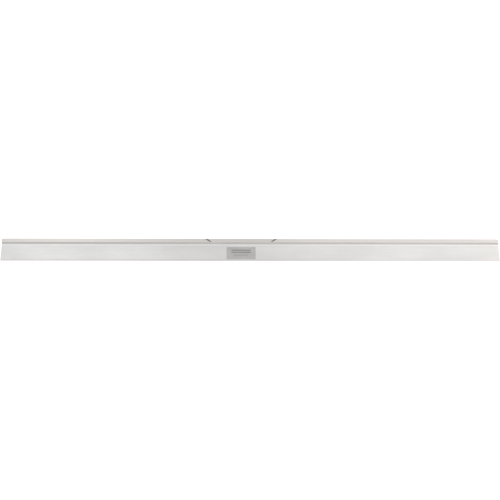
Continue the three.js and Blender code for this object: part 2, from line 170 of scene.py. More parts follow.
def mesh_object(name: str, points: Sequence[Vector], faces: Sequence[Sequence[int]]) -> Solid:
    """Make a mesh object whose faces point outwards.

    Args:
        name: Name of the object.
        points: Its vertices.
        faces: Its faces as vertex numbers.

    Returns:
        The object, linked into the scene.
    """
    mesh = bpy.data.meshes.new(name)
    mesh.from_pydata([tuple(p) for p in points], [], [tuple(f) for f in faces])
    with edited(mesh) as shape:
        bmesh.ops.recalc_face_normals(shape, faces=shape.faces)
    return linked(name, mesh)


def prism(name: str, plane: Plane, outline: Sequence[Point], low: float, high: float) -> Solid:
    """Make a closed solid from a flat outline carried straight along the plane's normal.

    Args:
        name: Name of the object.
        plane: Plane of the outline.
        outline: Its corners.
        low: Where it starts on the third axis.
        high: Where it ends.

    Returns:
        The solid.
    """
    foot = plane.place(outline, low)
    head = plane.place(outline, high)
    count = len(foot)
    sides = [(i, (i + 1) % count, count + (i + 1) % count, count + i) for i in range(count)]
    ends = [range(count), range(2 * count - 1, count - 1, -1)]
    return mesh_object(name, foot + head, [*ends, *sides])


def turned(
    name: str, profile: Sequence[Point], segments: int = ROUND_SEGMENTS, ring: bool = False
) -> Solid:
    """Make a solid of revolution about the Y axis.

    Args:
        name: Name of the object.
        profile: (radius, height) points. Without ring they start and end on the axis.
        segments: Number of flats round it.
        ring: Whether the profile closes on itself, as a washer's does.

    Returns:
        The solid.
    """
    points: list[Vector] = []
    rings: list[list[int]] = []
    for radius, height in profile:
        count = 1 if radius < TINY else segments
        rings.append(list(range(len(points), len(points) + count)))
        for i in range(count):
            angle = 2 * math.pi * i / segments
            points.append(Vector((radius * math.cos(angle), height, radius * math.sin(angle))))
    faces: list[list[int]] = []
    pairs = list(zip(rings, rings[1:] + (rings[:1] if ring else [])))
    for lower, upper in pairs:
        for i in range(segments):
            j = (i + 1) % segments
            corners = [(lower, i), (lower, j), (upper, j), (upper, i)]
            faces.append(list(dict.fromkeys(row[k % len(row)] for row, k in corners)))
    return mesh_object(name, points, [f for f in faces if len(f) > 2])


def moved(thing: Solid, by: Sequence[float], turn: Matrix | None = None) -> Solid:
    """Turn and shift a mesh object's own vertices, and give the object back."""
    thing.data.transform(Matrix.Translation(Vector(by)) @ (turn or Matrix.Identity(4)))
    return thing


def joined(name: str, things: Sequence[Solid]) -> Solid:
    """Join mesh objects into one.

    Args:
        name: Name of the joined object.
        things: The objects, which are used up.

    Returns:
        The joined object.
    """
    mesh = bpy.data.meshes.new(name)
    with edited(mesh) as shape:
        for thing in things:
            shape.from_mesh(thing.data)
            discard(thing)
    return linked(name, mesh)


def turned_row(
    name: str,
    profile: Sequence[Point],
    segments: int,
    places: Sequence[Sequence[float]],
    turn: Matrix | None = None,
) -> Solid:
    """Set one solid of revolution at each of several places, as one object."""
    return joined(name, [moved(turned("one", profile, segments), place, turn) for place in places])


def discard(thing: Solid) -> None:
    """Remove a helper object."""
    bpy.data.objects.remove(thing, do_unlink=True)


def settled(thing: Solid, name: str) -> Solid:
    """Turn an object with modifiers into one plain mesh object.

    Args:
        thing: The object, which is used up.
        name: Name of the plain object.

    Returns:
        The plain mesh object.
    """
    depsgraph = bpy.context.evaluated_depsgraph_get()
    mesh = bpy.data.meshes.new_from_object(
        thing.evaluated_get(depsgraph), preserve_all_data_layers=True, depsgraph=depsgraph
    )
    discard(thing)
    mesh.name = name
    return linked(name, mesh)


def carved(thing: Solid, tool: Solid, how: Carve) -> Solid:
    """Shape one solid with another.

    Args:
        thing: The solid to shape.
        tool: The solid that shapes it, which is used up.
        how: Cut away, keep what both share, or join.

    Returns:
        The shaped solid.
    """
    modifier = thing.modifiers.new("carve", "BOOLEAN")
    modifier.operation = how.value
    modifier.solver = "EXACT"
    modifier.object = tool
    shaped = settled(thing, thing.name)
    discard(tool)
    return shaped


def eased(thing: Solid, name: str, width: float, segments: int = 2, angle: float = 30.0) -> Solid:
    """Round a solid's sharp edges and shade it smooth, with its flats kept flat.

    Args:
        thing: The solid, which is used up.
        name: Name of the finished piece.
        width: Width of the rounding.
        segments: Number of strips in it.
        angle: Sharpest turn, in degrees, that is left alone.

    Returns:
        The finished piece.
    """
    with edited(thing.data) as shape:
        bmesh.ops.remove_doubles(shape, verts=shape.verts, dist=WELD)
        bmesh.ops.dissolve_degenerate(shape, edges=shape.edges, dist=WELD)
    for face in thing.data.polygons:
        face.use_smooth = True
    bevel = thing.modifiers.new("ease", "BEVEL")
    bevel.width = width
    bevel.segments = segments
    bevel.limit_method = "ANGLE"
    bevel.angle_limit = math.radians(angle)
    bevel.harden_normals = True
    bevel.miter_outer = "MITER_ARC"
    return settled(thing, name)


# ---- Node trees ----


class Sketch:
    """A node tree under construction."""

    def __init__(self, tree: Tree) -> None:
        """Start from an empty tree."""
        self.tree = tree
        tree.nodes.clear()

    def node(self, kind: str, settings: dict[str, object] | None = None, **inputs: object) -> Node:
        """Add a node.

        Args:
            kind: Its bl_idname.
            settings: Properties of the node itself.
            **inputs: Values or sockets for its inputs, with underscores for spaces.

        Returns:
            The node.
        """
        made = self.tree.nodes.new(kind)
        for key, value in (settings or {}).items():
            setattr(made, key, value)
        for key, value in inputs.items():
            self.feed(made.inputs[key.replace("_", " ")], value)
        return made

    def group(self, tree: Tree, **inputs: object) -> Sockets:
        """Add a shared shader group and give its outputs."""
        return self.node("ShaderNodeGroup", {"node_tree": tree}, **inputs).outputs

    def feed(self, socket: Socket, value: object) -> None:
        """Link a socket into another, or set it to a constant.

        Args:
            socket: The input to feed.
            value: The output socket or the constant.
        """
        if isinstance(value, Socket):
            self.tree.links.new(value, socket)
        else:
            socket.default_value = value

    def math(
        self, operation: str, first: object, second: object = 0.0, clamp: bool = False
    ) -> Socket:
        """Add a math node.

        Args:
            operation: What it works out.
            first: Its first value or socket.
            second: Its second value or socket.
            clamp: Whether the result is kept between 0 and 1.

        Returns:
            The result.
        """
        made = self.node("ShaderNodeMath", {"operation": operation, "use_clamp": clamp})
        self.feed(made.inputs[0], first)
        self.feed(made.inputs[1], second)
        return made.outputs[0]

    def weighed(
        self, *parts: tuple[object, float], base: float = 0.0, clamp: bool = False
    ) -> Socket:
        """Add up several values, each with its weight.

        Args:
            *parts: (value, weight) pairs.
            base: A constant that the sum starts from.
            clamp: Whether the sum is kept between 0 and 1.

        Returns:
            The sum.
        """
        total: object = base
        for value, weight in parts:
            total = self.math("ADD", total, self.math("MULTIPLY", value, weight))
        return self.math("ADD", total, 0.0, clamp=True) if clamp else total

    def ramp(
        self, value: object, low: float, high: float, to_low: float = 0.0, to_high: float = 1.0
    ) -> Socket:
        """Map a value from one range to another, smoothly and clamped.

        Args:
            value: The value.
            low: Start of its range.
            high: End of its range.
            to_low: What the start becomes.
            to_high: What the end becomes.

        Returns:
            The mapped value.
        """
        made = self.node(
            "ShaderNodeMapRange",
            {"interpolation_type": "SMOOTHSTEP"},
            Value=value,
            From_Min=low,
            From_Max=high,
            To_Min=to_low,
            To_Max=to_high,
        )
        return made.outputs["Result"]

    def mix(self, share: object, first: object, second: object) -> Socket:
        """Mix two colours.

        Args:
            share: How much of the second.
            first: The first colour.
            second: The second colour.

        Returns:
            The mixed colour.
        """
        made = self.node("ShaderNodeMix", {"data_type": "RGBA"})
        colours = [s for s in made.inputs if s.type == "RGBA"]
        self.feed(made.inputs[0], share)
        self.feed(colours[0], first)
        self.feed(colours[1], second)
        return next(s for s in made.outputs if s.type == "RGBA")

    def tint(self, colour: object, tone: object, mask: object, share: float = 1.0) -> Socket:
        """Lay a tone over a colour where a mask says, at some share of its strength."""
        return self.mix(self.math("MULTIPLY", mask, share), colour, tone)

    def noise(
        self, place: object, scale: object, detail: float = 3.0, roughness: float = 0.55
    ) -> Socket:
        """Add a noise texture.

        Args:
            place: Coordinates it is read at.
            scale: Its scale.
            detail: Its detail.
            roughness: Its roughness.

        Returns:
            Its value.
        """
        made = self.node(
            "ShaderNodeTexNoise", Vector=place, Scale=scale, Detail=detail, Roughness=roughness
        )
        return made.outputs[0]

    def stretched(
        self, stretch: Sequence[float] = (1.0, 1.0, 1.0), turn: Sequence[float] = (0.0, 0.0, 0.0)
    ) -> Socket:
        """Object coordinates, stretched and turned.

        Args:
            stretch: Factor along each axis.
            turn: Angle about each axis.

        Returns:
            The coordinates.
        """
        place = self.node("ShaderNodeTexCoord").outputs["Object"]
        made = self.node(
            "ShaderNodeMapping", Vector=place, Scale=tuple(stretch), Rotation=tuple(turn)
        )
        return made.outputs[0]


def new_tree(
    name: str, kind: str, inputs: Iterable[tuple], outputs: Iterable[tuple]
) -> tuple[Sketch, Node, Node]:
    """Start a node group with named sockets.

    Args:
        name: Name of the group.
        kind: Type of the tree.
        inputs: (name, socket type, default) of each input, with None for no default.
        outputs: (name, socket type) of each output.

    Returns:
        The sketch, its group input node and its group output node.
    """
    tree = bpy.data.node_groups.new(name, kind)
    sketch = Sketch(tree)
    for label, socket, default in inputs:
        item = tree.interface.new_socket(name=label, in_out="INPUT", socket_type=socket)
        if default is not None:
            item.default_value = default
    for label, socket in outputs:
        tree.interface.new_socket(name=label, in_out="OUTPUT", socket_type=socket)
    return sketch, tree.nodes.new("NodeGroupInput"), tree.nodes.new("NodeGroupOutput")


def grown(thing: Solid, tree: Tree, name: str, **values: object) -> Solid:
    """Run a Geometry Nodes tree on an object and keep the result as a plain mesh.

    Args:
        thing: The object the tree starts from, which is used up.
        tree: The tree.
        name: Name of the result.
        **values: Values of the tree's named inputs, with underscores for spaces.

    Returns:
        The plain mesh object.
    """
    modifier = thing.modifiers.new(name, "NODES")
    modifier.node_group = tree
    items = tree.interface.items_tree
    sockets = {i.name: i.identifier for i in items if getattr(i, "in_out", "") == "INPUT"}
    for label, value in values.items():
        modifier[sockets[label.replace("_", " ")]] = value
    return settled(thing, name)


@dataclass
class GrowthTrees:
    """The Geometry Nodes trees that make what is drawn, repeated or set in rows."""

    section: Tree = field(init=False)
    fasteners: Tree = field(init=False)
    bars: Tree = field(init=False)

    def __post_init__(self) -> None:
        """Build every tree."""
        self.section = self._drawn_section()
        self.fasteners = self._fastener_row()
        self.bars = self._raised_bars()

    @staticmethod
    def _open(name: str, inputs: Iterable[tuple]) -> tuple[Sketch, Node, Node]:
        """Start a tree that takes geometry and a material and puts out geometry.

        Args:
            name: Name of the tree.
            inputs: Its other inputs, as new_tree takes them.

        Returns:
            The sketch, its group input node and its group output node.
        """
        shape = ("Geometry", "NodeSocketGeometry")
        sockets = [(*shape, None), *inputs, ("Material", "NodeSocketMaterial", None)]
        return new_tree(name, "GeometryNodeTree", sockets, [shape])

    @staticmethod
    def _close(sketch: Sketch, geometry: Socket, start: Node, end: Node) -> Tree:
        """End a tree in Realize Instances and Set Material.

        Args:
            sketch: The tree's sketch.
            geometry: What the tree has made.
            start: Its group input node.
            end: Its group output node.

        Returns:
            The finished tree.
        """
        real = sketch.node("GeometryNodeRealizeInstances", Geometry=geometry)
        painted = sketch.node(
            "GeometryNodeSetMaterial", Geometry=real.outputs[0], Material=start.outputs["Material"]
        )
        sketch.feed(end.inputs["Geometry"], painted.outputs[0])
        return sketch.tree

    def _drawn_section(self) -> Tree:
        """A tree that draws a flat profile out along X, as an extrusion press does."""
        ends = [("Left End", "NodeSocketFloat", -1.0), ("Right End", "NodeSocketFloat", 1.0)]
        sketch, start, end = self._open("drawn_section", ends)
        left = sketch.node("ShaderNodeCombineXYZ", X=start.outputs["Left End"])
        right = sketch.node("ShaderNodeCombineXYZ", X=start.outputs["Right End"])
        path = sketch.node(
            "GeometryNodeCurvePrimitiveLine", Start=left.outputs[0], End=right.outputs[0]
        )
        swept = sketch.node(
            "GeometryNodeCurveToMesh",
            Curve=path.outputs[0],
            Profile_Curve=start.outputs["Geometry"],
            Fill_Caps=True,
        )
        return self._close(sketch, swept.outputs[0], start, end)

    def _fastener_row(self) -> Tree:
        """A tree that sets one form at each point, each turned by chance about its own axis."""
        inputs = [
            ("Form", "NodeSocketObject", None),
            ("Spin Axis", "NodeSocketVector", (0.0, 1.0, 0.0)),
            ("Seed", "NodeSocketInt", 1),
        ]
        sketch, start, end = self._open("fastener_row", inputs)
        form = sketch.node("GeometryNodeObjectInfo", Object=start.outputs["Form"])
        chance = sketch.node(
            "FunctionNodeRandomValue", {"data_type": "FLOAT"}, Seed=start.outputs["Seed"]
        )
        floats = [s for s in chance.inputs if s.type == "VALUE"]
        floats[0].default_value, floats[1].default_value = 0.0, 2 * math.pi
        spun = sketch.node(
            "ShaderNodeVectorMath", {"operation": "SCALE"}, Vector=start.outputs["Spin Axis"]
        )
        sketch.feed(spun.inputs["Scale"], next(s for s in chance.outputs if s.type == "VALUE"))
        placed = sketch.node(
            "GeometryNodeInstanceOnPoints",
            Points=start.outputs["Geometry"],
            Instance=form.outputs["Geometry"],
            Rotation=spun.outputs[0],
        )
        return self._close(sketch, placed.outputs[0], start, end)

    def _raised_bars(self) -> Tree:
        """A tree that stacks plain raised bars down a plate, beside what it is given."""
        inputs = [
            ("Count", "NodeSocketInt", 3),
            ("Pitch", "NodeSocketFloat", 10 * MM),
            ("Bar Size", "NodeSocketVector", (100 * MM, 4 * MM, 0.4 * MM)),
            ("First", "NodeSocketVector", (0.0, 0.0, 0.0)),
        ]
        sketch, start, end = self._open("raised_bars", inputs)
        step = sketch.node("ShaderNodeCombineXYZ", Y=start.outputs["Pitch"])
        line = sketch.node(
            "GeometryNodeMeshLine",
            Count=start.outputs["Count"],
            Start_Location=start.outputs["First"],
            Offset=step.outputs[0],
        )
        bar = sketch.node("GeometryNodeMeshCube", Size=start.outputs["Bar Size"])
        placed = sketch.node(
            "GeometryNodeInstanceOnPoints", Points=line.outputs[0], Instance=bar.outputs[0]
        )
        both = sketch.node("GeometryNodeJoinGeometry")
        for shape in (placed.outputs[0], start.outputs["Geometry"]):
            sketch.feed(both.inputs[0], shape)
        return self._close(sketch, both.outputs[0], start, end)

    def drawn(self, name: str, section: Sequence[Point], low: float, high: float) -> Solid:
        """Draw a (y, z) section out along X.

        Args:
            name: Name of the solid.
            section: Corners of the section.
            low: Left end.
            high: Right end.

        Returns:
            The solid.
        """
        curve = bpy.data.curves.new(name, "CURVE")
        curve.dimensions = "3D"
        spline = curve.splines.new("POLY")
        spline.points.add(len(section) - 1)
        for point, (y, z) in zip(spline.points, section):
            point.co = (-y, -z, 0.0, 1.0)
        spline.use_cyclic_u = True
        return grown(linked(name, curve), self.section, name, Left_End=low, Right_End=high)

    def row(
        self,
        name: str,
        form: Solid,
        places: Sequence[Sequence[float]],
        spin_axis: Sequence[float],
        seed: int,
    ) -> Solid:
        """Set a form at each place, turned by chance about its own axis; the form is kept."""
        points = mesh_object(name, [Vector(p) for p in places], [])
        return grown(points, self.fasteners, name, Form=form, Spin_Axis=tuple(spin_axis), Seed=seed)


# ---- Sizes that pieces share ----


@dataclass(frozen=True)
class Layout:
    """Sizes of the float that its pieces share, in metres."""

    length: float = 3048 * MM
    width: float = 152.4 * MM
    height: float = 22 * MM
    thickness: float = 5.5 * MM
    nose_run: float = 18 * MM
    nose_radius: float = 48 * MM
    heel_radius: float = 5 * MM
    rail_depth: float = 25.5 * MM
    rail_front_wall: float = 4 * MM
    rail_wall: float = 3 * MM
    rail_edge: float = 1.5 * MM
    rail_root: float = 3 * MM
    saddle_x: float = -55 * MM
    saddle_length: float = 422 * MM
    scarf_angle: float = math.radians(55)
    seal: float = 7 * MM
    gap: float = 0.1 * MM
    thread_gap: float = 0.08 * MM
    slot_drop: float = 1.2 * MM
    slot_mouth: float = 5.6 * MM
    slot_lip: float = 3.5 * MM
    slot_head_height: float = 9 * MM
    slot_head_depth: float = 6.5 * MM
    small_screw: float = 2 * MM
    small_head: float = 3.75 * MM
    small_head_height: float = 2.2 * MM
    cap_length: float = 14 * MM
    cap_screw_insets: tuple[float, ...] = (7.5 * MM, 18.5 * MM)
    saddle_screw_count: int = 6
    saddle_screw_spacing: float = 58 * MM
    saddle_screw_length: float = 12 * MM
    cap_screw_length: float = 10 * MM

    @property
    def rear(self) -> float:
        """Y of the rail's rear face."""
        return self.width / 2

    @property
    def rail_front(self) -> float:
        """Y of the rail's front face."""
        return self.rear - self.rail_depth

    @property
    def hollow_front(self) -> float:
        """Y of the hollow's front side."""
        return self.rail_front + self.rail_front_wall

    @property
    def hollow_rear(self) -> float:
        """Y of the hollow's rear side."""
        return self.rear - self.rail_wall

    @property
    def hollow_top(self) -> float:
        """Z of the hollow's roof."""
        return self.height - self.rail_wall

    @property
    def slot_z(self) -> float:
        """Z of the middle of the saddle's slot."""
        return (self.thickness + self.height) / 2 - self.slot_drop

    @property
    def lip_y(self) -> float:
        """Y of the inner side of the slot's lips."""
        return self.rear - self.slot_lip

    @property
    def slot_back(self) -> float:
        """Y of the slot's back."""
        return self.lip_y - self.slot_head_depth

    @property
    def cap_face(self) -> float:
        """X of the cut face that a cap covers, on the right."""
        return self.length / 2 - self.cap_length

    @property
    def cap_screw_z(self) -> float:
        """Z of the cap screws."""
        return (self.thickness + self.hollow_top) / 2

    @property
    def seal_span(self) -> float:
        """Length along X of a scarf joint with its seal."""
        return (self.seal + 2 * self.gap) / math.cos(self.scarf_angle)

    def scarf_half(self, rear_half: float, y: float) -> float:
        """Half the length at depth y of a piece scarfed from rear_half at the rear."""
        return rear_half - (self.rear - y) * math.tan(self.scarf_angle)

    def scarf_plan(self, rear_half: float) -> list[Point]:
        """Plan of a piece that is scarfed at both ends, drawn out past the rear.

        Args:
            rear_half: Half its length at the rear.

        Returns:
            Its corners as (x, y) points.
        """
        front, rear = self.hollow_front, self.rear + OVERCUT
        corners = ((front, -1), (front, 1), (rear, 1), (rear, -1))
        return [(self.saddle_x + sign * self.scarf_half(rear_half, y), y) for y, sign in corners]

    def rail_top(self, front: float) -> list[Point]:
        """The rail's rounded top from rear to front.

        Args:
            front: Y of its front face.

        Returns:
            (y, z) points.
        """
        edge = self.rail_edge
        level = self.height - edge
        rear_arc = arc((self.rear - edge, level), edge, 0, 90)
        return rear_arc + arc((front + edge, level), edge, 90, 180)

    def saddle_screws(self) -> list[Place]:
        """Where the heads of the saddle's screws lie."""
        middle = (self.saddle_screw_count - 1) / 2
        spacing, level = self.saddle_screw_spacing, self.slot_z
        return [
            (self.saddle_x + (i - middle) * spacing, self.slot_back - self.gap, level)
            for i in range(self.saddle_screw_count)
        ]

    def cap_screws(self, side: Side) -> list[Place]:
        """Where the heads of one cap's screws lie.

        Args:
            side: Which cap.

        Returns:
            The places.
        """
        return [
            (side.value * (self.cap_face - inset), self.rear - self.gap, self.cap_screw_z)
            for inset in self.cap_screw_insets
        ]

    def screw_holes(self, places: Sequence[Place], length: float) -> Solid:
        """Solids that cut countersunk screw holes, open to the rear.

        Args:
            places: Where the screws' heads lie.
            length: Length of the screws.

        Returns:
            All the holes as one object.
        """
        shank = self.small_screw + self.thread_gap
        mouth = self.small_head + self.gap
        foot = -length - 3 * self.gap
        opening = self.rear - places[0][1] + OVERCUT
        profile = [
            (0.0, foot),
            (shank, foot),
            (shank, -self.small_head_height - self.gap),
            (mouth, -self.gap),
            (mouth, opening),
            (0.0, opening),
        ]
        return turned_row("holes", profile, HOLE_SEGMENTS, places)


# ---- Shader groups ----


@dataclass(frozen=True)
class Pattern:
    """How a noise is laid: its stretch along X, its detail and its roughness."""

    along: float = 1.0
    detail: float = 3.0
    roughness: float = 0.55

    def lay(self, sketch: Sketch, scale: object) -> Socket:
        """The noise at some scale."""
        place = sketch.stretched((self.along, 1.0, 1.0))
        return sketch.noise(place, scale, self.detail, self.roughness)


@dataclass
class EffectGroups:
    """Shader node groups that several finishes share. They put out masks and heights only."""

    layout: Layout
    lines: Tree = field(init=False)
    wear: Tree = field(init=False)
    weather: Tree = field(init=False)
    scratches: Tree = field(init=False)
    grain: Tree = field(init=False)
    zones: Tree = field(init=False)
    coarse_lines: Pattern = Pattern(0.004, 2.0)
    fine_lines: Pattern = Pattern(0.0025, 3.0, 0.7)
    breakup: Pattern = Pattern(0.6, 4.0, 0.65)
    clouds: Pattern = Pattern(0.35, 3.0, 0.5)
    mottle: Pattern = Pattern(0.5, 5.0, 0.65)
    specks: Pattern = Pattern(1.0, 1.0, 0.4)
    skin: Pattern = Pattern(1.0, 4.0, 0.6)
    line_shares: tuple[float, float] = (0.45, 0.55)
    line_range: tuple[float, float] = (0.38, 0.62)
    edge_samples: int = 4
    edge_range: tuple[float, float] = (0.01, 0.2)
    edge_patches: tuple[float, float] = (0.35, 0.6)
    cloud_range: tuple[float, float] = (0.3, 0.7)
    mottle_scale: float = 85.0
    speck_scale: float = 520.0
    speck_range: tuple[float, float] = (0.74, 0.82)
    scratch_ways: tuple[Place, ...] = ((4.0, 900.0, 14.0), (5.0, 700.0, -52.0))
    scratch_roughness: float = 0.3
    scratch_range: tuple[float, float] = (0.73, 0.77)
    grain_range: tuple[float, float] = (0.35, 0.65)
    # Sizes of the zones that carry painted shade (rail, front wall) and painted highlight (strip,
    # nose).
    rail_fade: float = 1.2 * MM
    end_guard: float = 0.4 * MM
    wall_drop: float = 0.8 * MM
    wall_corner: tuple[float, float] = (-4.8 * MM, -3.2 * MM)
    wall_depth: float = 0.6 * MM
    strip_width: float = 18 * MM
    nose_edge: float = -66 * MM
    nose_fade: float = 5 * MM

    def __post_init__(self) -> None:
        """Build every group."""
        self.lines = self._drawn_lines()
        self.wear = self._edge_wear()
        self.weather = self._weathering()
        self.scratches = self._scratches()
        self.grain = self._cast_grain()
        self.zones = self._float_zones()

    @staticmethod
    def _group(name: str, inputs: Iterable[tuple[str, float]], outputs: Iterable[str]) -> tuple:
        """Start a shader group whose sockets are all numbers.

        Args:
            name: Name of the group.
            inputs: (label, default) pairs.
            outputs: Labels of its outputs.

        Returns:
            The sketch, the group input's sockets and the group output's sockets.
        """
        number = "NodeSocketFloat"
        takes = [(label, number, default) for label, default in inputs]
        gives = [(label, number) for label in outputs]
        sketch, start, end = new_tree(name, "ShaderNodeTree", takes, gives)
        return sketch, start.outputs, end.inputs

    def _drawn_lines(self) -> Tree:
        """Long fine lines along X that a drawn or brushed surface shows."""
        labels = [("Coarse", 420.0), ("Fine", 1500.0)]
        sketch, given, end = self._group("drawn_lines", labels, ["Mask", "Height"])
        coarse = self.coarse_lines.lay(sketch, given["Coarse"])
        fine = self.fine_lines.lay(sketch, given["Fine"])
        both = sketch.weighed((coarse, self.line_shares[0]), (fine, self.line_shares[1]))
        sketch.feed(end["Mask"], sketch.ramp(both, *self.line_range))
        sketch.feed(end["Height"], both)
        return sketch.tree

    def _edge_wear(self) -> Tree:
        """Edges rubbed bright, where a rounded normal leaves the true one."""
        labels = [("Radius", 0.002), ("Breakup", 60.0)]
        sketch, given, end = self._group("edge_wear", labels, ["Mask"])
        rounded = sketch.node(
            "ShaderNodeBevel", {"samples": self.edge_samples}, Radius=given["Radius"]
        )
        same = sketch.node("ShaderNodeVectorMath", {"operation": "DOT_PRODUCT"})
        sketch.feed(same.inputs[0], rounded.outputs[0])
        sketch.feed(same.inputs[1], sketch.node("ShaderNodeNewGeometry").outputs["Normal"])
        edge = sketch.ramp(sketch.math("SUBTRACT", 1.0, same.outputs["Value"]), *self.edge_range)
        broken = sketch.ramp(self.breakup.lay(sketch, given["Breakup"]), *self.edge_patches)
        sketch.feed(end["Mask"], sketch.math("MULTIPLY", edge, broken, clamp=True))
        return sketch.tree

    def _weathering(self) -> Tree:
        """Broad clouds of oxide, finer mottle and a few dark specks."""
        labels = ["Cloud", "Mottle", "Speck"]
        sketch, given, end = self._group("weathering", [("Patch Scale", 7.0)], labels)
        cloud = self.clouds.lay(sketch, given["Patch Scale"])
        mottle = self.mottle.lay(sketch, self.mottle_scale)
        speck = self.specks.lay(sketch, self.speck_scale)
        sketch.feed(end["Cloud"], sketch.ramp(cloud, *self.cloud_range))
        sketch.feed(end["Mottle"], sketch.ramp(mottle, *self.cloud_range))
        sketch.feed(end["Speck"], sketch.ramp(speck, *self.speck_range))
        return sketch.tree

    def _scratches(self) -> Tree:
        """Thin stray scratches in two directions."""
        sketch, given, end = self._group("stray_scratches", [("Amount", 1.0)], ["Mask"])
        masks = []
        for length, fineness, degrees in self.scratch_ways:
            turn = (0.0, 0.0, math.radians(degrees))
            place = sketch.stretched((length, fineness, length), turn)
            thin = sketch.noise(place, 1.0, 1.0, self.scratch_roughness)
            masks.append(sketch.ramp(thin, *self.scratch_range))
        both = sketch.math("MAXIMUM", *masks)
        sketch.feed(end["Mask"], sketch.math("MULTIPLY", both, given["Amount"], clamp=True))
        return sketch.tree

    def _cast_grain(self) -> Tree:
        """The fine bumpy skin of a casting or of moulded rubber."""
        sketch, given, end = self._group("cast_grain", [("Scale", 900.0)], ["Mask", "Height"])
        skin = self.skin.lay(sketch, given["Scale"])
        sketch.feed(end["Mask"], sketch.ramp(skin, *self.grain_range))
        sketch.feed(end["Height"], skin)
        return sketch.tree

    def _float_zones(self) -> Tree:
        """Where the rail, its front wall, the strip at its foot and the nose are: the rail and its
        front wall take painted shade, the strip a painted highlight, the nose wear and a painted
        highlight.
        """
        size = self.layout
        inputs = [
            ("Foot", size.thickness),
            ("Wall Top", size.height - self.wall_drop),
            ("Wall Front", size.rail_front),
            ("Strip", self.strip_width),
            ("Nose", self.nose_edge),
        ]
        labels = ["Rail", "Wall", "Strip", "Nose"]
        sketch, given, end = self._group("float_zones", inputs, labels)
        place = sketch.node("ShaderNodeTexCoord").outputs["Object"]
        axes = sketch.node("ShaderNodeSeparateXYZ", Vector=place).outputs
        rise = sketch.math("SUBTRACT", axes["Z"], given["Foot"])
        rail = sketch.ramp(rise, 0.0, self.rail_fade)
        above = sketch.math("GREATER_THAN", rise, -self.end_guard)
        below = sketch.math("LESS_THAN", axes["Z"], given["Wall Top"])
        behind = sketch.math("SUBTRACT", axes["Y"], given["Wall Front"])
        before = sketch.math("LESS_THAN", behind, self.wall_depth)
        wall = sketch.math("MULTIPLY", below, before)
        wall = sketch.math("MULTIPLY", sketch.ramp(behind, *self.wall_corner), wall)
        wall = sketch.math("MULTIPLY", wall, above)
        ahead = sketch.math("SUBTRACT", given["Wall Front"], axes["Y"])
        depth = sketch.math("DIVIDE", ahead, given["Strip"])
        strip = sketch.math("MULTIPLY", sketch.ramp(depth, 1.0, 0.5), above)
        flat = sketch.math("SUBTRACT", 1.0, sketch.math("MAXIMUM", rail, wall))
        nose = sketch.math("SUBTRACT", given["Nose"], axes["Y"])
        sketch.feed(end["Rail"], rail)
        sketch.feed(end["Wall"], wall)
        sketch.feed(end["Strip"], sketch.math("MULTIPLY", strip, flat))
        sketch.feed(end["Nose"], sketch.ramp(nose, 0.0, self.nose_fade))
        return sketch.tree


# ---- Finishes ----


@dataclass(frozen=True)
class Finish:
    """What every finish has: its tones, its sheen, and how much of each shared effect."""

    name: str
    light: Colour
    dark: Colour
    roughness: float
    roughness_spread: float = 0.1
    metallic: float = 1.0
    bump_distance: float = 0.00002
    bump_strength: float = 0.3
    patch_scale: float = 7.0
    line_scales: tuple[float, float] = (420.0, 1500.0)
    grain_scale: float = 700.0
    wear_radius: float = 0.0016
    wear_breakup: float = 70.0
    worn: Colour = (0.86, 0.855, 0.845, 1.0)
    wear_share: float = 0.7
    cloud_share: float = 0.5
    grain_share: float = 0.3

    def build(self, effects: EffectGroups) -> bpy.types.Material:
        """Build the material.

        Args:
            effects: The shared shader groups.

        Returns:
            The material.
        """
        material = bpy.data.materials.new(self.name)
        material.use_nodes = True
        material.diffuse_color = self.light
        sketch = Sketch(material.node_tree)
        colour, rough, height = self.paint(sketch, effects)
        raised = sketch.node(
            "ShaderNodeBump",
            Height=height,
            Strength=self.bump_strength,
            Distance=self.bump_distance,
        )
        shader = sketch.node(
            "ShaderNodeBsdfPrincipled",
            Metallic=self.metallic,
            Base_Color=colour,
            Roughness=rough,
            Normal=raised.outputs[0],
        )
        sketch.node("ShaderNodeOutputMaterial", Surface=shader.outputs[0])
        return material

    def paint(self, sketch: Sketch, effects: EffectGroups) -> Paint:
        """Lay out the finish's own nodes.

        Args:
            sketch: The material's sketch.
            effects: The shared shader groups.

        Returns:
            The colour, the roughness and the height.
        """
        raise NotImplementedError

    def lines(self, sketch: Sketch, effects: EffectGroups) -> Sockets:
        """The drawn lines at this finish's scales."""
        coarse, fine = self.line_scales
        return sketch.group(effects.lines, Coarse=coarse, Fine=fine)

    def weather(self, sketch: Sketch, effects: EffectGroups) -> Sockets:
        """The clouds, mottle and specks at this finish's scale."""
        return sketch.group(effects.weather, Patch_Scale=self.patch_scale)

    def grain(self, sketch: Sketch, effects: EffectGroups) -> Sockets:
        """The bumpy skin at this finish's scale."""
        return sketch.group(effects.grain, Scale=self.grain_scale)

    def rubbed(self, sketch: Sketch, effects: EffectGroups) -> Socket:
        """The mask of this finish's rubbed edges."""
        wear = sketch.group(effects.wear, Radius=self.wear_radius, Breakup=self.wear_breakup)
        return wear["Mask"]


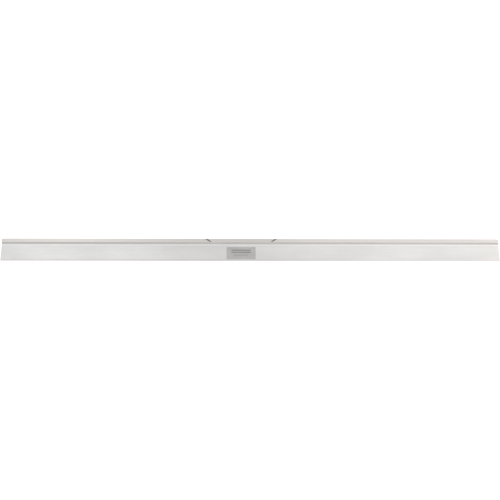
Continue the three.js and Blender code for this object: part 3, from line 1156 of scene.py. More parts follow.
@dataclass(frozen=True)
class DrawnMagnesium(Finish):
    """Magnesium straight from the extrusion press, dulled by use."""

    bump_strength: float = 0.35
    cloud_share: float = 0.55
    mottle_share: float = 0.2
    line_share: float = 0.25
    # Painted shade: the rail darker and warmer than the blade it is drawn with.
    rail_tone: Colour = (0.70, 0.67, 0.645, 1.0)
    rail_share: float = 0.85
    # Painted shade on the rail's front wall and root fillet.
    wall_tone: Colour = (0.59, 0.58, 0.57, 1.0)
    wall_share: float = 0.9
    # Painted highlight on the strip at the rail's foot; the nose edge paler from wear and a painted
    # highlight.
    clean_tone: Colour = (0.97, 0.97, 0.96, 1.0)
    nose_share: float = 0.4
    speck_tone: Colour = (0.3, 0.3, 0.3, 1.0)
    speck_share: float = 0.35
    scratch_amount: float = 0.8
    scratch_share: float = 0.5
    scratch_depth: float = 0.6
    polish: float = 0.12

    def paint(self, sketch: Sketch, effects: EffectGroups) -> Paint:
        """Lay out the nodes.

        Args:
            sketch: The material's sketch.
            effects: The shared shader groups.

        Returns:
            The colour, the roughness and the height.
        """
        lines = self.lines(sketch, effects)
        weather = self.weather(sketch, effects)
        scratches = sketch.group(effects.scratches, Amount=self.scratch_amount)["Mask"]
        zones = sketch.group(effects.zones)
        shade = sketch.weighed(
            (weather["Cloud"], self.cloud_share),
            (weather["Mottle"], self.mottle_share),
            (lines["Mask"], self.line_share),
            clamp=True,
        )
        colour = sketch.mix(shade, self.light, self.dark)
        # Painted shade: the rail's surfaces darker and warmer than the blade.
        colour = sketch.tint(colour, self.rail_tone, zones["Rail"], self.rail_share)
        # Painted shade: the rail's front wall darker.
        colour = sketch.tint(colour, self.wall_tone, zones["Wall"], self.wall_share)
        # Painted highlight on the strip at the rail's foot, with wear and a painted highlight on
        # the nose edge.
        nose = sketch.math("MULTIPLY", zones["Nose"], self.nose_share)
        colour = sketch.tint(colour, self.clean_tone, sketch.math("MAXIMUM", zones["Strip"], nose))
        colour = sketch.tint(colour, self.speck_tone, weather["Speck"], self.speck_share)
        scratched = sketch.math("MULTIPLY", scratches, self.scratch_share)
        bright = sketch.math("MAXIMUM", self.rubbed(sketch, effects), scratched)
        colour = sketch.tint(colour, self.worn, bright, self.wear_share)
        rough = sketch.weighed(
            (lines["Mask"], self.roughness_spread),
            (weather["Cloud"], self.roughness_spread),
            (bright, -self.polish),
            base=self.roughness,
            clamp=True,
        )
        height = sketch.weighed((lines["Height"], 1.0), (scratches, -self.scratch_depth))
        return colour, rough, height


@dataclass(frozen=True)
class CastMagnesium(Finish):
    """Magnesium cast and then milled on its faces."""

    bump_strength: float = 0.4
    patch_scale: float = 14.0
    line_scales: tuple[float, float] = (650.0, 2200.0)
    wear_radius: float = 0.0014
    wear_breakup: float = 110.0
    worn: Colour = (0.84, 0.835, 0.825, 1.0)
    grain_share: float = 0.35
    # Painted shade on the caps' front faces, in line with the rail's front wall.
    wall_tone: Colour = (0.59, 0.58, 0.57, 1.0)
    wall_share: float = 0.9
    speck_tone: Colour = (0.28, 0.28, 0.28, 1.0)
    speck_share: float = 0.4
    line_depth: float = 0.5
    polish: float = 0.1

    def paint(self, sketch: Sketch, effects: EffectGroups) -> Paint:
        """Lay out the nodes.

        Args:
            sketch: The material's sketch.
            effects: The shared shader groups.

        Returns:
            The colour, the roughness and the height.
        """
        grain = self.grain(sketch, effects)
        weather = self.weather(sketch, effects)
        wear = self.rubbed(sketch, effects)
        wall = sketch.group(effects.zones)["Wall"]
        shade = sketch.weighed(
            (weather["Cloud"], self.cloud_share), (grain["Mask"], self.grain_share), clamp=True
        )
        colour = sketch.mix(shade, self.light, self.dark)
        # Painted shade where the caps face forward in line with the rail's front wall.
        colour = sketch.tint(colour, self.wall_tone, wall, self.wall_share)
        colour = sketch.tint(colour, self.speck_tone, weather["Speck"], self.speck_share)
        colour = sketch.tint(colour, self.worn, wear, self.wear_share)
        rough = sketch.weighed(
            (grain["Mask"], self.roughness_spread),
            (wear, -self.polish),
            base=self.roughness,
            clamp=True,
        )
        lines = self.lines(sketch, effects)["Height"]
        height = sketch.weighed((grain["Height"], 1.0), (lines, self.line_depth))
        return colour, rough, height


@dataclass(frozen=True)
class PlatedSteel(Finish):
    """Steel with a bright or dark plating, rubbed through at its edges."""

    bump_strength: float = 0.25
    patch_scale: float = 60.0
    grain_scale: float = 1400.0
    wear_radius: float = 0.0005
    wear_breakup: float = 400.0
    worn: Colour = (0.75, 0.75, 0.76, 1.0)
    wear_share: float = 0.8
    cloud_share: float = 0.6

    def paint(self, sketch: Sketch, effects: EffectGroups) -> Paint:
        """Lay out the nodes.

        Args:
            sketch: The material's sketch.
            effects: The shared shader groups.

        Returns:
            The colour, the roughness and the height.
        """
        grain = self.grain(sketch, effects)
        cloud = self.weather(sketch, effects)["Cloud"]
        shade = sketch.weighed(
            (cloud, self.cloud_share), (grain["Mask"], self.grain_share), clamp=True
        )
        colour = sketch.mix(shade, self.light, self.dark)
        wear = self.rubbed(sketch, effects)
        colour = sketch.tint(colour, self.worn, wear, self.wear_share)
        rough = sketch.weighed((shade, self.roughness_spread), base=self.roughness)
        return colour, rough, grain["Height"]


@dataclass(frozen=True)
class SealRubber(Finish):
    """Black rubber with grey cement dust in its grain."""

    bump_strength: float = 0.6
    patch_scale: float = 90.0
    grain_scale: float = 1100.0
    dust: Colour = (0.24, 0.235, 0.225, 1.0)
    dust_share: float = 0.3

    def paint(self, sketch: Sketch, effects: EffectGroups) -> Paint:
        """Lay out the nodes.

        Args:
            sketch: The material's sketch.
            effects: The shared shader groups.

        Returns:
            The colour, the roughness and the height.
        """
        grain = self.grain(sketch, effects)
        weather = self.weather(sketch, effects)
        colour = sketch.mix(grain["Mask"], self.light, self.dark)
        dusty = sketch.math("MULTIPLY", weather["Cloud"], weather["Mottle"])
        colour = sketch.tint(colour, self.dust, dusty, self.dust_share)
        rough = sketch.weighed((dusty, self.roughness_spread), base=self.roughness, clamp=True)
        return colour, rough, grain["Height"]


@dataclass(frozen=True)
class PlateFinish(Finish):
    """Printed or anodised aluminium sheet with a fine brushed grain."""

    roughness_spread: float = 0.08
    patch_scale: float = 26.0
    line_scales: tuple[float, float] = (900.0, 3200.0)
    wear_radius: float = 0.0004
    wear_breakup: float = 260.0
    worn: Colour = (0.72, 0.72, 0.72, 1.0)
    wear_share: float = 0.5
    line_share: float = 0.4

    def paint(self, sketch: Sketch, effects: EffectGroups) -> Paint:
        """Lay out the nodes.

        Args:
            sketch: The material's sketch.
            effects: The shared shader groups.

        Returns:
            The colour, the roughness and the height.
        """
        lines = self.lines(sketch, effects)
        cloud = self.weather(sketch, effects)["Cloud"]
        shade = sketch.weighed(
            (cloud, self.cloud_share), (lines["Mask"], self.line_share), clamp=True
        )
        colour = sketch.mix(shade, self.light, self.dark)
        wear = self.rubbed(sketch, effects)
        colour = sketch.tint(colour, self.worn, wear, self.wear_share)
        rough = sketch.weighed((lines["Mask"], self.roughness_spread), base=self.roughness)
        return colour, rough, lines["Height"]


FINISHES = (
    DrawnMagnesium(
        "drawn_magnesium",
        light=(0.80, 0.797, 0.785, 1.0),
        dark=(0.70, 0.70, 0.69, 1.0),
        roughness=0.42,
        roughness_spread=0.08,
        metallic=0.65,
    ),
    CastMagnesium(
        "cast_magnesium",
        light=(0.74, 0.715, 0.695, 1.0),
        dark=(0.64, 0.62, 0.60, 1.0),
        roughness=0.46,
        roughness_spread=0.12,
        metallic=0.65,
    ),
    PlatedSteel(
        "zinc_steel",
        light=(0.60, 0.61, 0.63, 1.0),
        dark=(0.46, 0.47, 0.49, 1.0),
        roughness=0.26,
    ),
    PlatedSteel(
        "dark_steel",
        light=(0.13, 0.13, 0.135, 1.0),
        dark=(0.07, 0.07, 0.075, 1.0),
        roughness=0.42,
        worn=(0.4, 0.4, 0.4, 1.0),
    ),
    SealRubber(
        "seal_rubber",
        light=(0.035, 0.034, 0.033, 1.0),
        dark=(0.02, 0.02, 0.02, 1.0),
        roughness=0.72,
        roughness_spread=0.2,
        metallic=0.0,
    ),
    PlateFinish(
        "plate_field",
        light=(0.57, 0.555, 0.545, 1.0),
        dark=(0.49, 0.475, 0.465, 1.0),
        roughness=0.42,
        metallic=0.6,
    ),
    PlateFinish(
        "plate_rim",
        light=(0.66, 0.65, 0.64, 1.0),
        dark=(0.58, 0.57, 0.56, 1.0),
        roughness=0.36,
        metallic=0.7,
    ),
    PlateFinish(
        "plate_mark",
        light=(0.34, 0.33, 0.325, 1.0),
        dark=(0.28, 0.27, 0.265, 1.0),
        roughness=0.45,
        metallic=0.5,
    ),
)


# ---- Pieces ----


@dataclass
class Maker:
    """What every sub-assembly needs: the sizes, the trees and the finishes."""

    layout: Layout
    trees: GrowthTrees
    finishes: dict[str, bpy.types.Material]

    def dress(
        self,
        piece: Solid,
        finish: str | Sequence[str],
        slot: str,
        nodes: Sequence[str],
        body: str = FLOAT_BODY,
    ) -> Solid:
        """Give a piece its finish, its body and the CAD nodes it stands for.

        Args:
            piece: The finished mesh object.
            finish: Name of its finish, or several for its face numbers.
            slot: Name of a material slot; not used.
            nodes: The CAD nodes it replaces.
            body: The CAD body it moves with.

        Returns:
            The piece.
        """
        piece.data.materials.clear()
        for each in [finish] if isinstance(finish, str) else finish:
            piece.data.materials.append(self.finishes[each])
        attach(piece, body)
        if nodes:
            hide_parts(*nodes)
        LOG.info("%s: %d faces, rides on %s", piece.name, len(piece.data.polygons), body)
        return piece


@dataclass
class BladeAndRail(Maker):
    """The drawn bar: blade, nose and hollow rail, with the saddle's pocket."""

    edge: float = 0.35 * MM
    rivet_hole: float = 1.58 * MM
    rivet_hole_depth: float = 3.7 * MM

    def section(self) -> list[Point]:
        """The outer cross-section as (y, z) points."""
        size = self.layout
        top = size.thickness
        middle = size.nose_radius - top / 2
        nose_start = size.nose_run - size.width / 2
        sweep = math.degrees(math.asin((size.nose_run - top / 2) / middle))
        edge = -90 - sweep
        centre = (nose_start, size.nose_radius)
        lip = math.radians(edge)
        nose = (
            nose_start + middle * math.cos(lip),
            size.nose_radius + middle * math.sin(lip),
        )
        heel = (size.rear - size.heel_radius, size.heel_radius)
        root = (size.rail_front - size.rail_root, top + size.rail_root)
        return [
            *arc(heel, size.heel_radius, -90, 0),
            *size.rail_top(size.rail_front),
            *arc(root, size.rail_root, 0, -90),
            *arc(centre, size.nose_radius - top, -90, edge),
            *arc(nose, top / 2, edge + 180, edge + 360)[1:-1],
            *arc(centre, size.nose_radius, edge, -90),
        ]

    def build(self, rivets: Sequence[Place]) -> Solid:
        """Build and dress the bar.

        Args:
            rivets: Where the nameplate's rivets go.

        Returns:
            The finished piece.
        """
        size = self.layout
        end = size.length / 2
        bar = self.trees.drawn("bar", self.section(), -end, end)
        hollow = box((size.hollow_front, size.thickness), (size.hollow_rear, size.hollow_top))
        caps = [place for side in Side for place in size.cap_screws(side)]
        for tool in (
            prism("hollow", Plane.YZ, hollow, -end - OVERCUT, end + OVERCUT),
            self._pocket(),
            joined("cap_seats", [self._cap_seat(side) for side in Side]),
            size.screw_holes(caps, size.cap_screw_length),
            size.screw_holes(size.saddle_screws(), size.saddle_screw_length),
            self._rivet_holes(rivets),
        ):
            bar = carved(bar, tool, Carve.CUT)
        piece = eased(bar, "drawn_blade", self.edge)
        return self.dress(piece, "drawn_magnesium", "magnesium", ["float_blade"])

    def _pocket(self) -> Solid:
        """The space for the saddle and its seals."""
        size = self.layout
        plan = size.scarf_plan(size.saddle_length / 2 + size.seal_span)
        return prism("pocket", Plane.XY, plan, size.thickness, size.height + OVERCUT)

    def _cap_seat(self, side: Side) -> Solid:
        """The piece of rail that is milled away for a cap.

        Args:
            side: Which cap.

        Returns:
            The solid to cut away.
        """
        size = self.layout
        near, far = side.value * size.cap_face, side.value * (size.length / 2 + OVERCUT)
        front = size.rail_front - size.rail_root - OVERCUT
        outline = box((near, front), (far, size.rear + OVERCUT))
        return prism("cap_seat", Plane.XY, outline, size.thickness, size.height + OVERCUT)

    def _rivet_holes(self, places: Sequence[Place]) -> Solid:
        """Blind holes for the nameplate's rivets."""
        spots = [(x, y, self.layout.thickness) for x, y, _ in places]
        profile = rod(self.rivet_hole, -self.rivet_hole_depth, OVERCUT)
        return turned_row("rivet_holes", profile, RIVET_SEGMENTS, spots, UPRIGHT)


@dataclass
class SaddleAndSeals(Maker):
    """The slotted saddle let into the rail, and the rubber in its two scarf joints."""

    edge: float = 0.3 * MM
    seal_edge: float = 0.5 * MM
    seal_dip: float = 0.25 * MM

    def build(self) -> list[Solid]:
        """Build and dress the saddle and its two seals."""
        return [self._saddle(), *(self._seal(side) for side in Side)]

    def _section(self) -> list[Point]:
        """The saddle's cross-section with its T-slot, as (y, z) points."""
        size = self.layout
        front, floor = size.hollow_front + size.gap, size.thickness + size.gap
        mouth, head = size.slot_mouth / 2, size.slot_head_height / 2
        edge = size.rail_edge
        return [
            (front, floor),
            (size.rear, floor),
            (size.rear, size.slot_z - mouth),
            (size.lip_y, size.slot_z - mouth),
            (size.lip_y, size.slot_z - head),
            (size.slot_back, size.slot_z - head),
            (size.slot_back, size.slot_z + head),
            (size.lip_y, size.slot_z + head),
            (size.lip_y, size.slot_z + mouth),
            (size.rear, size.slot_z + mouth),
            *arc((size.rear - edge, size.height - edge), edge, 0, 90),
            (front, size.height),
        ]

    def _saddle(self) -> Solid:
        """The slotted saddle."""
        size = self.layout
        half = size.saddle_length / 2
        ends = (size.saddle_x - half - OVERCUT, size.saddle_x + half + OVERCUT)
        bar = self.trees.drawn("saddle", self._section(), *ends)
        plan = prism("plan", Plane.XY, size.scarf_plan(half), 0.0, size.height + OVERCUT)
        bar = carved(bar, plan, Carve.KEEP_SHARED)
        holes = size.screw_holes(size.saddle_screws(), size.saddle_screw_length)
        piece = eased(carved(bar, holes, Carve.CUT), "bracket_saddle", self.edge)
        return self.dress(piece, "cast_magnesium", "cast_magnesium", ["mount_saddle"])

    def _seal(self, side: Side) -> Solid:
        """One rubber strip, its top a little hollow between its edges.

        Args:
            side: Which joint it fills.

        Returns:
            The finished piece.
        """
        size = self.layout
        slant = math.cos(size.scarf_angle)
        inner = size.saddle_length / 2 + size.gap / slant
        outer = inner + size.seal / slant
        front, floor = size.hollow_front + size.gap, size.thickness + size.gap
        edge = size.rail_edge
        top = size.height - self.seal_dip
        section = [
            (front, floor),
            (size.rear - self.seal_dip, floor),
            *arc((size.rear - self.seal_dip - edge, top - edge), edge, 0, 90),
            (front, top),
        ]
        reach = outer + OVERCUT
        bar = self.trees.drawn("seal", section, size.saddle_x - reach, size.saddle_x + reach)
        corners = box((inner, front), (outer, size.rear))
        outline = [(size.saddle_x + side.value * size.scarf_half(*at), at[1]) for at in corners]
        plan = prism("plan", Plane.XY, outline, 0.0, size.height + OVERCUT)
        bar = carved(bar, plan, Carve.KEEP_SHARED)
        piece = eased(bar, f"rubber_seal_{side.word}", self.seal_edge, 3)
        return self.dress(piece, "seal_rubber", "seal_rubber", [f"scarf_seal_{side.word}"])


@dataclass
class EndCaps(Maker):
    """The two cast caps that close the rail."""

    top_radius: float = 10 * MM
    plan_radius: float = 6 * MM
    spigot: float = 26 * MM
    spigot_gap: float = 0.2 * MM
    edge: float = 0.45 * MM

    def build(self) -> list[Solid]:
        """Build and dress both caps."""
        return [self._cap(side) for side in Side]

    def _cap(self, side: Side) -> Solid:
        """One cap with its spigot and screw holes.

        Args:
            side: Which end it closes.

        Returns:
            The finished piece.
        """
        size, sign = self.layout, side.value
        near, far = size.cap_face + size.gap, size.length / 2
        start, roof = near - OVERCUT, size.height + OVERCUT
        front, rear = size.rail_front - OVERCUT, size.rear + OVERCUT
        floor = size.thickness + size.gap
        section = [(size.rail_front, floor), (size.rear, floor), *size.rail_top(size.rail_front)]
        block = self.trees.drawn("cap", section, *sorted((sign * near, sign * far)))
        radius, corner = self.top_radius, self.plan_radius
        top_arc = arc((far - radius, size.height - radius), radius, 0, 90, 2 * ARC_STEPS)
        rear_arc = arc((far - corner, size.rear - corner), corner, 0, 90, 2 * ARC_STEPS)
        side_view = [(start, 0.0), (far, 0.0), *top_arc, (start, size.height)]
        plan = [(start, front), (far, front), *rear_arc, (start, size.rear)]
        for name, plane, outline, low, high in (
            ("side", Plane.XZ, side_view, front, rear),
            ("plan", Plane.XY, plan, 0.0, roof),
        ):
            tool = prism(name, plane, [(sign * x, other) for x, other in outline], low, high)
            block = carved(block, tool, Carve.KEEP_SHARED)
        gap = self.spigot_gap
        low = (size.hollow_front + gap, size.thickness + gap)
        high = (size.hollow_rear - gap, size.hollow_top - gap)
        reach = sorted((sign * (size.cap_face - self.spigot), sign * (near + OVERCUT)))
        block = carved(block, prism("spigot", Plane.YZ, box(low, high), *reach), Carve.JOIN)
        holes = size.screw_holes(size.cap_screws(side), size.cap_screw_length)
        piece = eased(carved(block, holes, Carve.CUT), f"cast_cap_{side.word}", self.edge)
        node = f"end_cap_{side.word}"
        return self.dress(piece, "cast_magnesium", "cast_magnesium", [node])


@dataclass
class Nameplate(Maker):
    """The plate on the blade: a raised rim round a field with plain bars, and its rivets."""

    length: float = 177 * MM
    width: float = 85 * MM
    thickness: float = 0.8 * MM
    corner: float = 4 * MM
    centre_y: float = -17.5 * MM
    rim: float = 2.4 * MM
    field_depth: float = 0.3 * MM
    rivet_inset: float = 6 * MM
    rivet_hole: float = 1.58 * MM
    rivet_land: float = 3.6 * MM
    rivet_head: float = 2.75 * MM
    rivet_height: float = 1 * MM
    rivet_rim: float = 0.15 * MM
    rivet_shank: float = 1.5 * MM
    rivet_grip: float = 3.4 * MM
    rivet_edge: float = 0.06 * MM
    mandrel: Point = (0.8 * MM, 0.65 * MM)
    mandrel_rise: float = 0.97
    mandrel_pit: float = 0.6
    least_corner: float = 0.8 * MM
    sink: float = 0.2 * MM
    bar_sink: float = 0.05 * MM
    bar_edge: float = 0.04 * MM
    bar_rise: float = 0.5
    edge: float = 0.12 * MM

    @property
    def floor(self) -> float:
        """Z of the plate's underside."""
        return self.layout.thickness + self.layout.gap

    @property
    def field_level(self) -> float:
        """Z of the sunk field."""
        return self.floor + self.thickness - self.field_depth

    def rivets(self) -> list[Place]:
        """Where the rivets' heads sit."""
        half_x, half_y = self.length / 2 - self.rivet_inset, self.width / 2 - self.rivet_inset
        level = self.floor + self.thickness + self.layout.gap
        corners = box((-half_x, -half_y), (half_x, half_y))
        return [(self.layout.saddle_x + x, self.centre_y + y, level) for x, y in corners]

    def outline(self, inset: float) -> list[Point]:
        """The plate's rounded outline.

        Args:
            inset: How far it is drawn in.

        Returns:
            (x, y) points.
        """
        half_x, half_y = self.length / 2 - inset, self.width / 2 - inset
        radius = max(self.corner - inset, self.least_corner)
        x, y = self.layout.saddle_x, self.centre_y
        points: list[Point] = []
        for sx, sy, start in ((1, 1, 0), (-1, 1, 90), (-1, -1, 180), (1, -1, 270)):
            centre = (x + sx * (half_x - radius), y + sy * (half_y - radius))
            points += arc(centre, radius, start, start + 90, 6)
        return points

    def build(self) -> list[Solid]:
        """Build and dress the plate, its bars and its rivets."""
        return [self._plate(), self._bars(), self._rivets()]

    def _plate(self) -> Solid:
        """The plate with its sunk field."""
        top = self.floor + self.thickness
        spots = [(x, y, top) for x, y, _ in self.rivets()]
        land = rod(self.rivet_land, -self.field_depth - self.sink, 0.0)
        hole = rod(self.rivet_hole, -OVERCUT, OVERCUT)
        plate = prism("plate", Plane.XY, self.outline(0.0), self.floor, top)
        sunk = prism("sunk", Plane.XY, self.outline(self.rim), self.field_level, top + OVERCUT)
        plate = carved(plate, sunk, Carve.CUT)
        lands = turned_row("lands", land, HOLE_SEGMENTS, spots, UPRIGHT)
        plate = carved(plate, lands, Carve.JOIN)
        holes = turned_row("holes", hole, RIVET_SEGMENTS, spots, UPRIGHT)
        piece = eased(carved(plate, holes, Carve.CUT), "name_plate", self.edge)
        for face in piece.data.polygons:
            low = abs(face.center.z - self.field_level) < self.edge * 0.3
            face.material_index = 0 if low and face.normal.z > 0.9 else 1
        return self.dress(piece, ["plate_field", "plate_rim"], "plate", ["nameplate"])

    def _bars(self) -> Solid:
        """Plain bars in the field: two broad ones above two narrow ones."""
        height = self.bar_rise * self.field_depth
        level = self.field_level + height / 2 - self.bar_sink
        x = self.layout.saddle_x
        groups = []
        for name, pitch, length, width, shift in (
            ("broad_bars", 15 * MM, 118 * MM, 9.5 * MM, 5 * MM),
            ("narrow_bars", 8 * MM, 92 * MM, 3 * MM, -20 * MM),
        ):
            group = grown(
                mesh_object("bars", [Vector((x, self.centre_y, level))], []),
                self.trees.bars,
                name,
                Count=2,
                Pitch=pitch,
                Bar_Size=(length, width, height),
                First=(x, self.centre_y + shift, level),
            )
            groups.append(group)
        both = joined("bars", groups)
        with edited(both.data) as shape:
            stray = [v for v in shape.verts if not v.link_faces]
            bmesh.ops.delete(shape, geom=stray, context="VERTS")
        piece = eased(both, "plate_bars", self.bar_edge)
        return self.dress(piece, "plate_mark", "plate", [])

    def _rivets(self) -> Solid:
        """The four blind rivets, with the small pit of their drawn mandrels."""
        head, rim, shank = self.rivet_head, self.rivet_rim, self.rivet_shank
        high, pit = self.rivet_height, self.rivet_height * self.mandrel_pit
        grip = self.rivets()[0][2] - self.layout.thickness + self.rivet_grip
        dome = [math.radians(degrees) for degrees in (20, 38, 55)]
        profile = [
            (0.0, -grip),
            (shank, -grip),
            (shank, 0.0),
            (head, 0.0),
            (head, rim),
            *[(head * math.cos(a), rim + (high - rim) * math.sin(a)) for a in dome],
            (self.mandrel[0], high * self.mandrel_rise),
            (self.mandrel[1], pit),
            (0.0, pit),
        ]
        form = moved(turned("rivet", profile, 28), (0.0, 0.0, 0.0), UPRIGHT)
        form = eased(form, "rivet", self.rivet_edge)
        row = self.trees.row("plate_rivets", form, self.rivets(), (0.0, 0.0, 1.0), 7)
        discard(form)
        nodes = [f"nameplate_rivet_{i}" for i in range(1, 5)]
        return self.dress(row, "zinc_steel", "zinc_steel", nodes)


@dataclass
class Screws(Maker):
    """Every countersunk screw, and the clamp screws with their washers and nuts."""

    socket: float = 2.5 * MM
    socket_depth: float = 1.5 * MM
    clamp_spacing: float = 250 * MM
    clamp_radius: float = 2.5 * MM
    clamp_length: float = 10 * MM
    clamp_head: float = 4.75 * MM
    clamp_head_height: float = 2.75 * MM
    clamp_socket: float = 3 * MM
    clamp_socket_depth: float = 1.6 * MM
    washer: float = 5 * MM
    washer_thickness: float = 1 * MM
    side_gap: float = 0.3 * MM
    nut_length: float = 16 * MM
    nut_thickness: float = 4 * MM
    nut_neck: float = 2.5 * MM
    nut_corner: float = 1 * MM
    nut_edge: float = 0.25 * MM
    small_pitch: float = 0.7 * MM
    clamp_pitch: float = 0.8 * MM
    thread_start: float = 0.5 * MM
    thread_end: float = 0.6 * MM
    tip: float = 0.8
    ridge: float = 0.3
    chamfer: float = 0.2 * MM
    head_rim: float = 0.15 * MM
    dome_rim: float = 0.45 * MM
    crown: float = 2.3 * MM
    small_edge: float = 0.06 * MM
    clamp_edge: float = 0.08 * MM
    washer_edge: float = 0.07 * MM

    def build(self) -> list[Solid]:
        """Build and dress every screw row and both clamp sets."""
        size = self.layout
        nodes = [f"saddle_screw_{i + 1}" for i in range(size.saddle_screw_count)]
        form = self._countersunk(size.saddle_screw_length)
        made = [self._screw_row("saddle_screws", form, size.saddle_screws(), 11, nodes)]
        discard(form)
        form = self._countersunk(size.cap_screw_length)
        for side in Side:
            name, places = f"cap_screws_{side.word}", size.cap_screws(side)
            nodes = [f"end_cap_screw_{side.word}_{i + 1}" for i in range(len(places))]
            made.append(self._screw_row(name, form, places, 20 + side.value, nodes))
        discard(form)
        form = self._button_head()
        for side in Side:
            made += self._clamp_set(side, form)
        discard(form)
        return made

    def _screw_row(
        self,
        name: str,
        form: Solid,
        places: Sequence[Place],
        seed: int,
        nodes: Sequence[str],
        body: str = FLOAT_BODY,
    ) -> Solid:
        """Set and dress a row of screws that point to the rear."""
        row = self.trees.row(name, form, places, (0.0, 1.0, 0.0), seed)
        return self.dress(row, "zinc_steel", "zinc_steel", nodes, body)

    def _thread(self, radius: float, low: float, high: float, pitch: float) -> list[Point]:
        """Ridges of a thread between two heights.

        Args:
            radius: Radius over the ridges.
            low: Where the thread starts.
            high: Where it ends.
            pitch: Height of a ridge, about.

        Returns:
            (radius, height) points.
        """
        count = max(int((high - low) / pitch), 1)
        step = (high - low) / count
        root = radius - self.ridge * step
        ridges: list[Point] = []
        for i in range(count):
            ridges.append((root, low + i * step))
            ridges.append((radius, low + (i + 0.5) * step))
        ridges.append((root, high))
        return ridges

    def _countersunk(self, length: float) -> Solid:
        """A countersunk screw with a hexagon socket.

        Args:
            length: Its length over all.

        Returns:
            The screw, with its head's face at the origin.
        """
        size = self.layout
        start, end = -length + self.thread_start, -size.small_head_height - self.thread_end
        profile = [
            (0.0, -length),
            (size.small_screw * self.tip, -length),
            *self._thread(size.small_screw, start, end, self.small_pitch),
            (size.small_screw, -size.small_head_height),
            (size.small_head, -self.head_rim),
            (size.small_head, 0.0),
            (0.0, 0.0),
        ]
        socket = rod(self.socket / math.sqrt(3), -self.socket_depth, OVERCUT)
        screw = carved(turned("screw", profile, 32), turned("hexagon", socket, 6), Carve.CUT)
        return eased(screw, "screw_form", self.small_edge)

    def _button_head(self) -> Solid:
        """A button-headed screw with a hexagon socket, its bearing face at the origin."""
        radius, head, high = self.clamp_radius, self.clamp_head, self.clamp_head_height
        rim, crown, length = self.dome_rim, self.crown, self.clamp_length
        dome = [
            (crown + (head - crown) * math.cos(angle), rim + (high - rim) * math.sin(angle))
            for angle in map(math.radians, range(0, 91, 18))
        ]
        profile = [
            (0.0, -length),
            (radius * self.tip, -length),
            *self._thread(radius, -length + self.thread_start, -self.thread_end, self.clamp_pitch),
            (radius, 0.0),
            (head - self.chamfer, 0.0),
            (head, self.head_rim),
            *dome,
            (0.0, high),
        ]
        floor = high - self.clamp_socket_depth
        socket = rod(self.clamp_socket / math.sqrt(3), floor, high + OVERCUT)
        screw = turned("screw", profile, ROUND_SEGMENTS)
        screw = carved(screw, turned("hexagon", socket, 6), Carve.CUT)
        return eased(screw, "clamp_form", self.clamp_edge)

    def _clamp_set(self, side: Side, form: Solid) -> list[Solid]:
        """The screw, washer and nut on one side.

        Args:
            side: Which side.
            form: The clamp screw, made round the origin.

        Returns:
            The three pieces.
        """
        size, word = self.layout, side.word
        x = size.saddle_x + side.value * self.clamp_spacing / 2
        seat = size.rear + self.washer_thickness + 2 * size.gap
        places = [(x, seat, size.slot_z)]
        name, nodes = f"button_screw_{word}", [f"clamp_screw_{word}"]
        seed = 31 + side.value
        screw = self._screw_row(name, form, places, seed, nodes, f"{word}_screw")
        low, high = size.rear + size.gap, size.rear + size.gap + self.washer_thickness
        inner, outer, cut = self.clamp_radius + self.side_gap, self.washer, self.chamfer
        corner = [(outer, high - cut), (outer - cut, high)]
        profile = [(inner, low), (outer, low), *corner, (inner, high)]
        washer = turned("washer", profile, ROUND_SEGMENTS, ring=True)
        washer = eased(washer, f"flat_washer_{word}", self.washer_edge)
        moved(washer, (x, 0.0, size.slot_z))
        self.dress(washer, "zinc_steel", "zinc_steel", [f"clamp_washer_{word}"], f"{word}_washer")
        nut = moved(self._nut(side), (x, 0.0, size.slot_z))
        self.dress(nut, "dark_steel", "dark_steel", [f"slot_nut_{word}"], f"{word}_nut")
        return [screw, washer, nut]

    def _nut(self, side: Side) -> Solid:
        """A T-shaped slot nut with its bore.

        Args:
            side: Which side.

        Returns:
            The nut at the slot's depth, still at X = 0 and Z = 0.
        """
        size = self.layout
        half, corner = self.nut_length / 2, self.nut_corner
        plate = size.slot_head_height / 2 - self.side_gap
        neck = size.slot_mouth / 2 - self.side_gap
        face = size.lip_y - size.gap
        outline = [
            (-half + corner, -plate),
            (half - corner, -plate),
            (half, -plate + corner),
            (half, plate - corner),
            (half - corner, plate),
            (-half + corner, plate),
            (-half, plate - corner),
            (-half, -plate + corner),
        ]
        nut = prism("nut", Plane.XZ, outline, face - self.nut_thickness, face)
        bar = box((-half, -neck), (half, neck))
        tongue = prism("neck", Plane.XZ, bar, face - self.nut_neck, face + self.nut_neck)
        nut = carved(nut, tongue, Carve.JOIN)
        bore = rod(self.clamp_radius + size.thread_gap, size.slot_back, size.rear)
        nut = carved(nut, turned("bore", bore, HOLE_SEGMENTS), Carve.CUT)
        return eased(nut, f"tee_nut_{side.word}", self.nut_edge)


# ---- Studio ----


@dataclass(frozen=True)
class SoftBox:
    """One soft box over the float."""

    name: str
    x: float
    y: float
    width: float
    power: float
    colour: tuple[float, float, float] = (1.0, 1.0, 1.0)
    depth: float = 0.9
    height: float = 0.95

    def build(self) -> None:
        """Hang it, facing the line under the float's middle."""
        lamp = bpy.data.lights.new(self.name, "AREA")
        lamp.shape = "RECTANGLE"
        lamp.size, lamp.size_y = self.width, self.depth
        lamp.energy = self.power
        lamp.color = self.colour
        holder = linked(self.name, lamp)
        holder.location = (self.x, self.y, self.height)
        way = Vector((0.0, -self.y, -self.height))
        holder.rotation_euler = way.to_track_quat("-Z", "Y").to_euler()
        holder.visible_camera = False


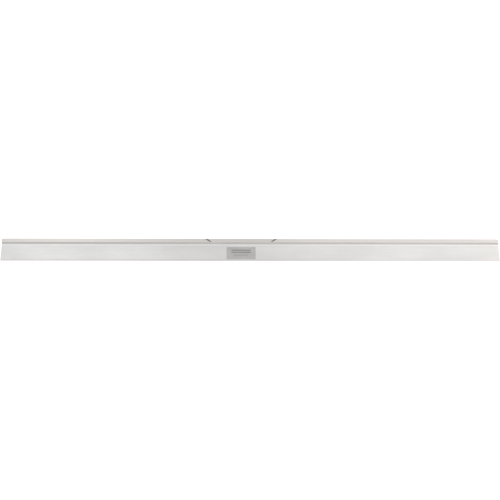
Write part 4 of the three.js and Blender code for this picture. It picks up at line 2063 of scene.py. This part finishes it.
@dataclass
class Studio:
    """Floor, light and camera."""

    elevation: float = 58.5
    distance: float = 9.492
    lens: float = 111.6
    roll: float = 0.088
    aim_up: float = 0.0072
    aim_side: float = -0.0005
    sensor: float = 36.0
    far_clip: float = 200.0
    floor_size: float = 60.0
    floor_level: float = -0.3 * MM
    floor_tone: Colour = (0.9, 0.9, 0.9, 1.0)
    floor_roughness: float = 0.9
    world_back: float = 0.67
    world_front: float = 1.0
    floor_glow: float = 0.44
    warm: tuple[float, float, float] = (1.0, 0.9, 0.88)

    def build(self) -> None:
        """Build floor, world, lights and camera."""
        self._colour_management()
        self._floor()
        self._world()
        self._lights()
        self._camera()

    def _colour_management(self) -> None:
        """Plain display colours."""
        scene = bpy.context.scene
        scene.view_settings.view_transform = "Standard"
        scene.view_settings.look = "None"
        scene.view_settings.exposure = 0.0
        scene.view_settings.gamma = 1.0

    def _floor(self) -> None:
        """A plain pale floor just under the sole."""
        half = self.floor_size / 2
        corners = Plane.XY.place(box((-half, -half), (half, half)), self.floor_level)
        floor = mesh_object("studio_floor", corners, [(0, 1, 2, 3)])
        material = bpy.data.materials.new("studio_floor")
        material.use_nodes = True
        sketch = Sketch(material.node_tree)
        shader = sketch.node(
            "ShaderNodeBsdfPrincipled",
            Base_Color=self.floor_tone,
            Roughness=self.floor_roughness,
            Emission_Color=WHITE,
            Emission_Strength=self.floor_glow,
        )
        sketch.node("ShaderNodeOutputMaterial", Surface=shader.outputs[0])
        floor.data.materials.append(material)

    def _world(self) -> None:
        """A white surround, brighter over the float's front than behind its rail."""
        world = bpy.data.worlds.new("studio")
        world.use_nodes = True
        sketch = Sketch(world.node_tree)
        way = sketch.node("ShaderNodeTexCoord").outputs["Generated"]
        depth = sketch.node("ShaderNodeSeparateXYZ", Vector=way).outputs["Y"]
        glow = sketch.ramp(depth, -1.0, 1.0, self.world_front, self.world_back)
        surround = sketch.node("ShaderNodeBackground", Color=WHITE, Strength=glow)
        sketch.node("ShaderNodeOutputWorld", Surface=surround.outputs[0])
        bpy.context.scene.world = world

    def _lights(self) -> None:
        """Soft boxes over the float's two ends, where its top mirrors them."""
        for light in (
            SoftBox("softbox_left", -1.25, 0.62, 1.1, 1.8),
            SoftBox("softbox_right", 0.95, 0.62, 1.5, 1.5),
            SoftBox("softbox_far_right", 1.6, 0.62, 0.9, 3.5, self.warm),
            SoftBox("softbox_front_left", -1.2, -0.8, 1.2, 0.8),
            SoftBox("softbox_front_right", 1.25, -0.8, 1.4, 3.2, self.warm),
        ):
            light.build()

    def _camera(self) -> None:
        """The camera, high in front of the float."""
        rise = math.radians(self.elevation)
        back = Vector((0.0, -math.cos(rise), math.sin(rise)))
        up = Vector((0.0, math.sin(rise), math.cos(rise)))
        target = up * self.aim_up + Vector((self.aim_side, 0.0, 0.0))
        camera = bpy.data.cameras.new("camera")
        camera.lens = self.lens
        camera.sensor_width = self.sensor
        camera.clip_end = self.far_clip
        holder = linked("camera", camera)
        holder.location = target + back * self.distance
        aim = (-back).to_track_quat("-Z", "Y").to_matrix().to_4x4()
        spin = Matrix.Rotation(math.radians(self.roll), 4, "Z")
        holder.rotation_euler = (aim @ spin).to_euler()
        bpy.context.scene.camera = holder


def main() -> None:
    """Build the studio and every piece of the float in order."""
    logging.basicConfig(level=logging.INFO, format="%(name)s: %(message)s")
    Studio().build()
    layout = Layout()
    effects = EffectGroups(layout)
    kit = (layout, GrowthTrees(), {finish.name: finish.build(effects) for finish in FINISHES})
    nameplate = Nameplate(*kit)
    BladeAndRail(*kit).build(nameplate.rivets())
    SaddleAndSeals(*kit).build()
    EndCaps(*kit).build()
    nameplate.build()
    Screws(*kit).build()


if __name__ == "__main__":
    main()
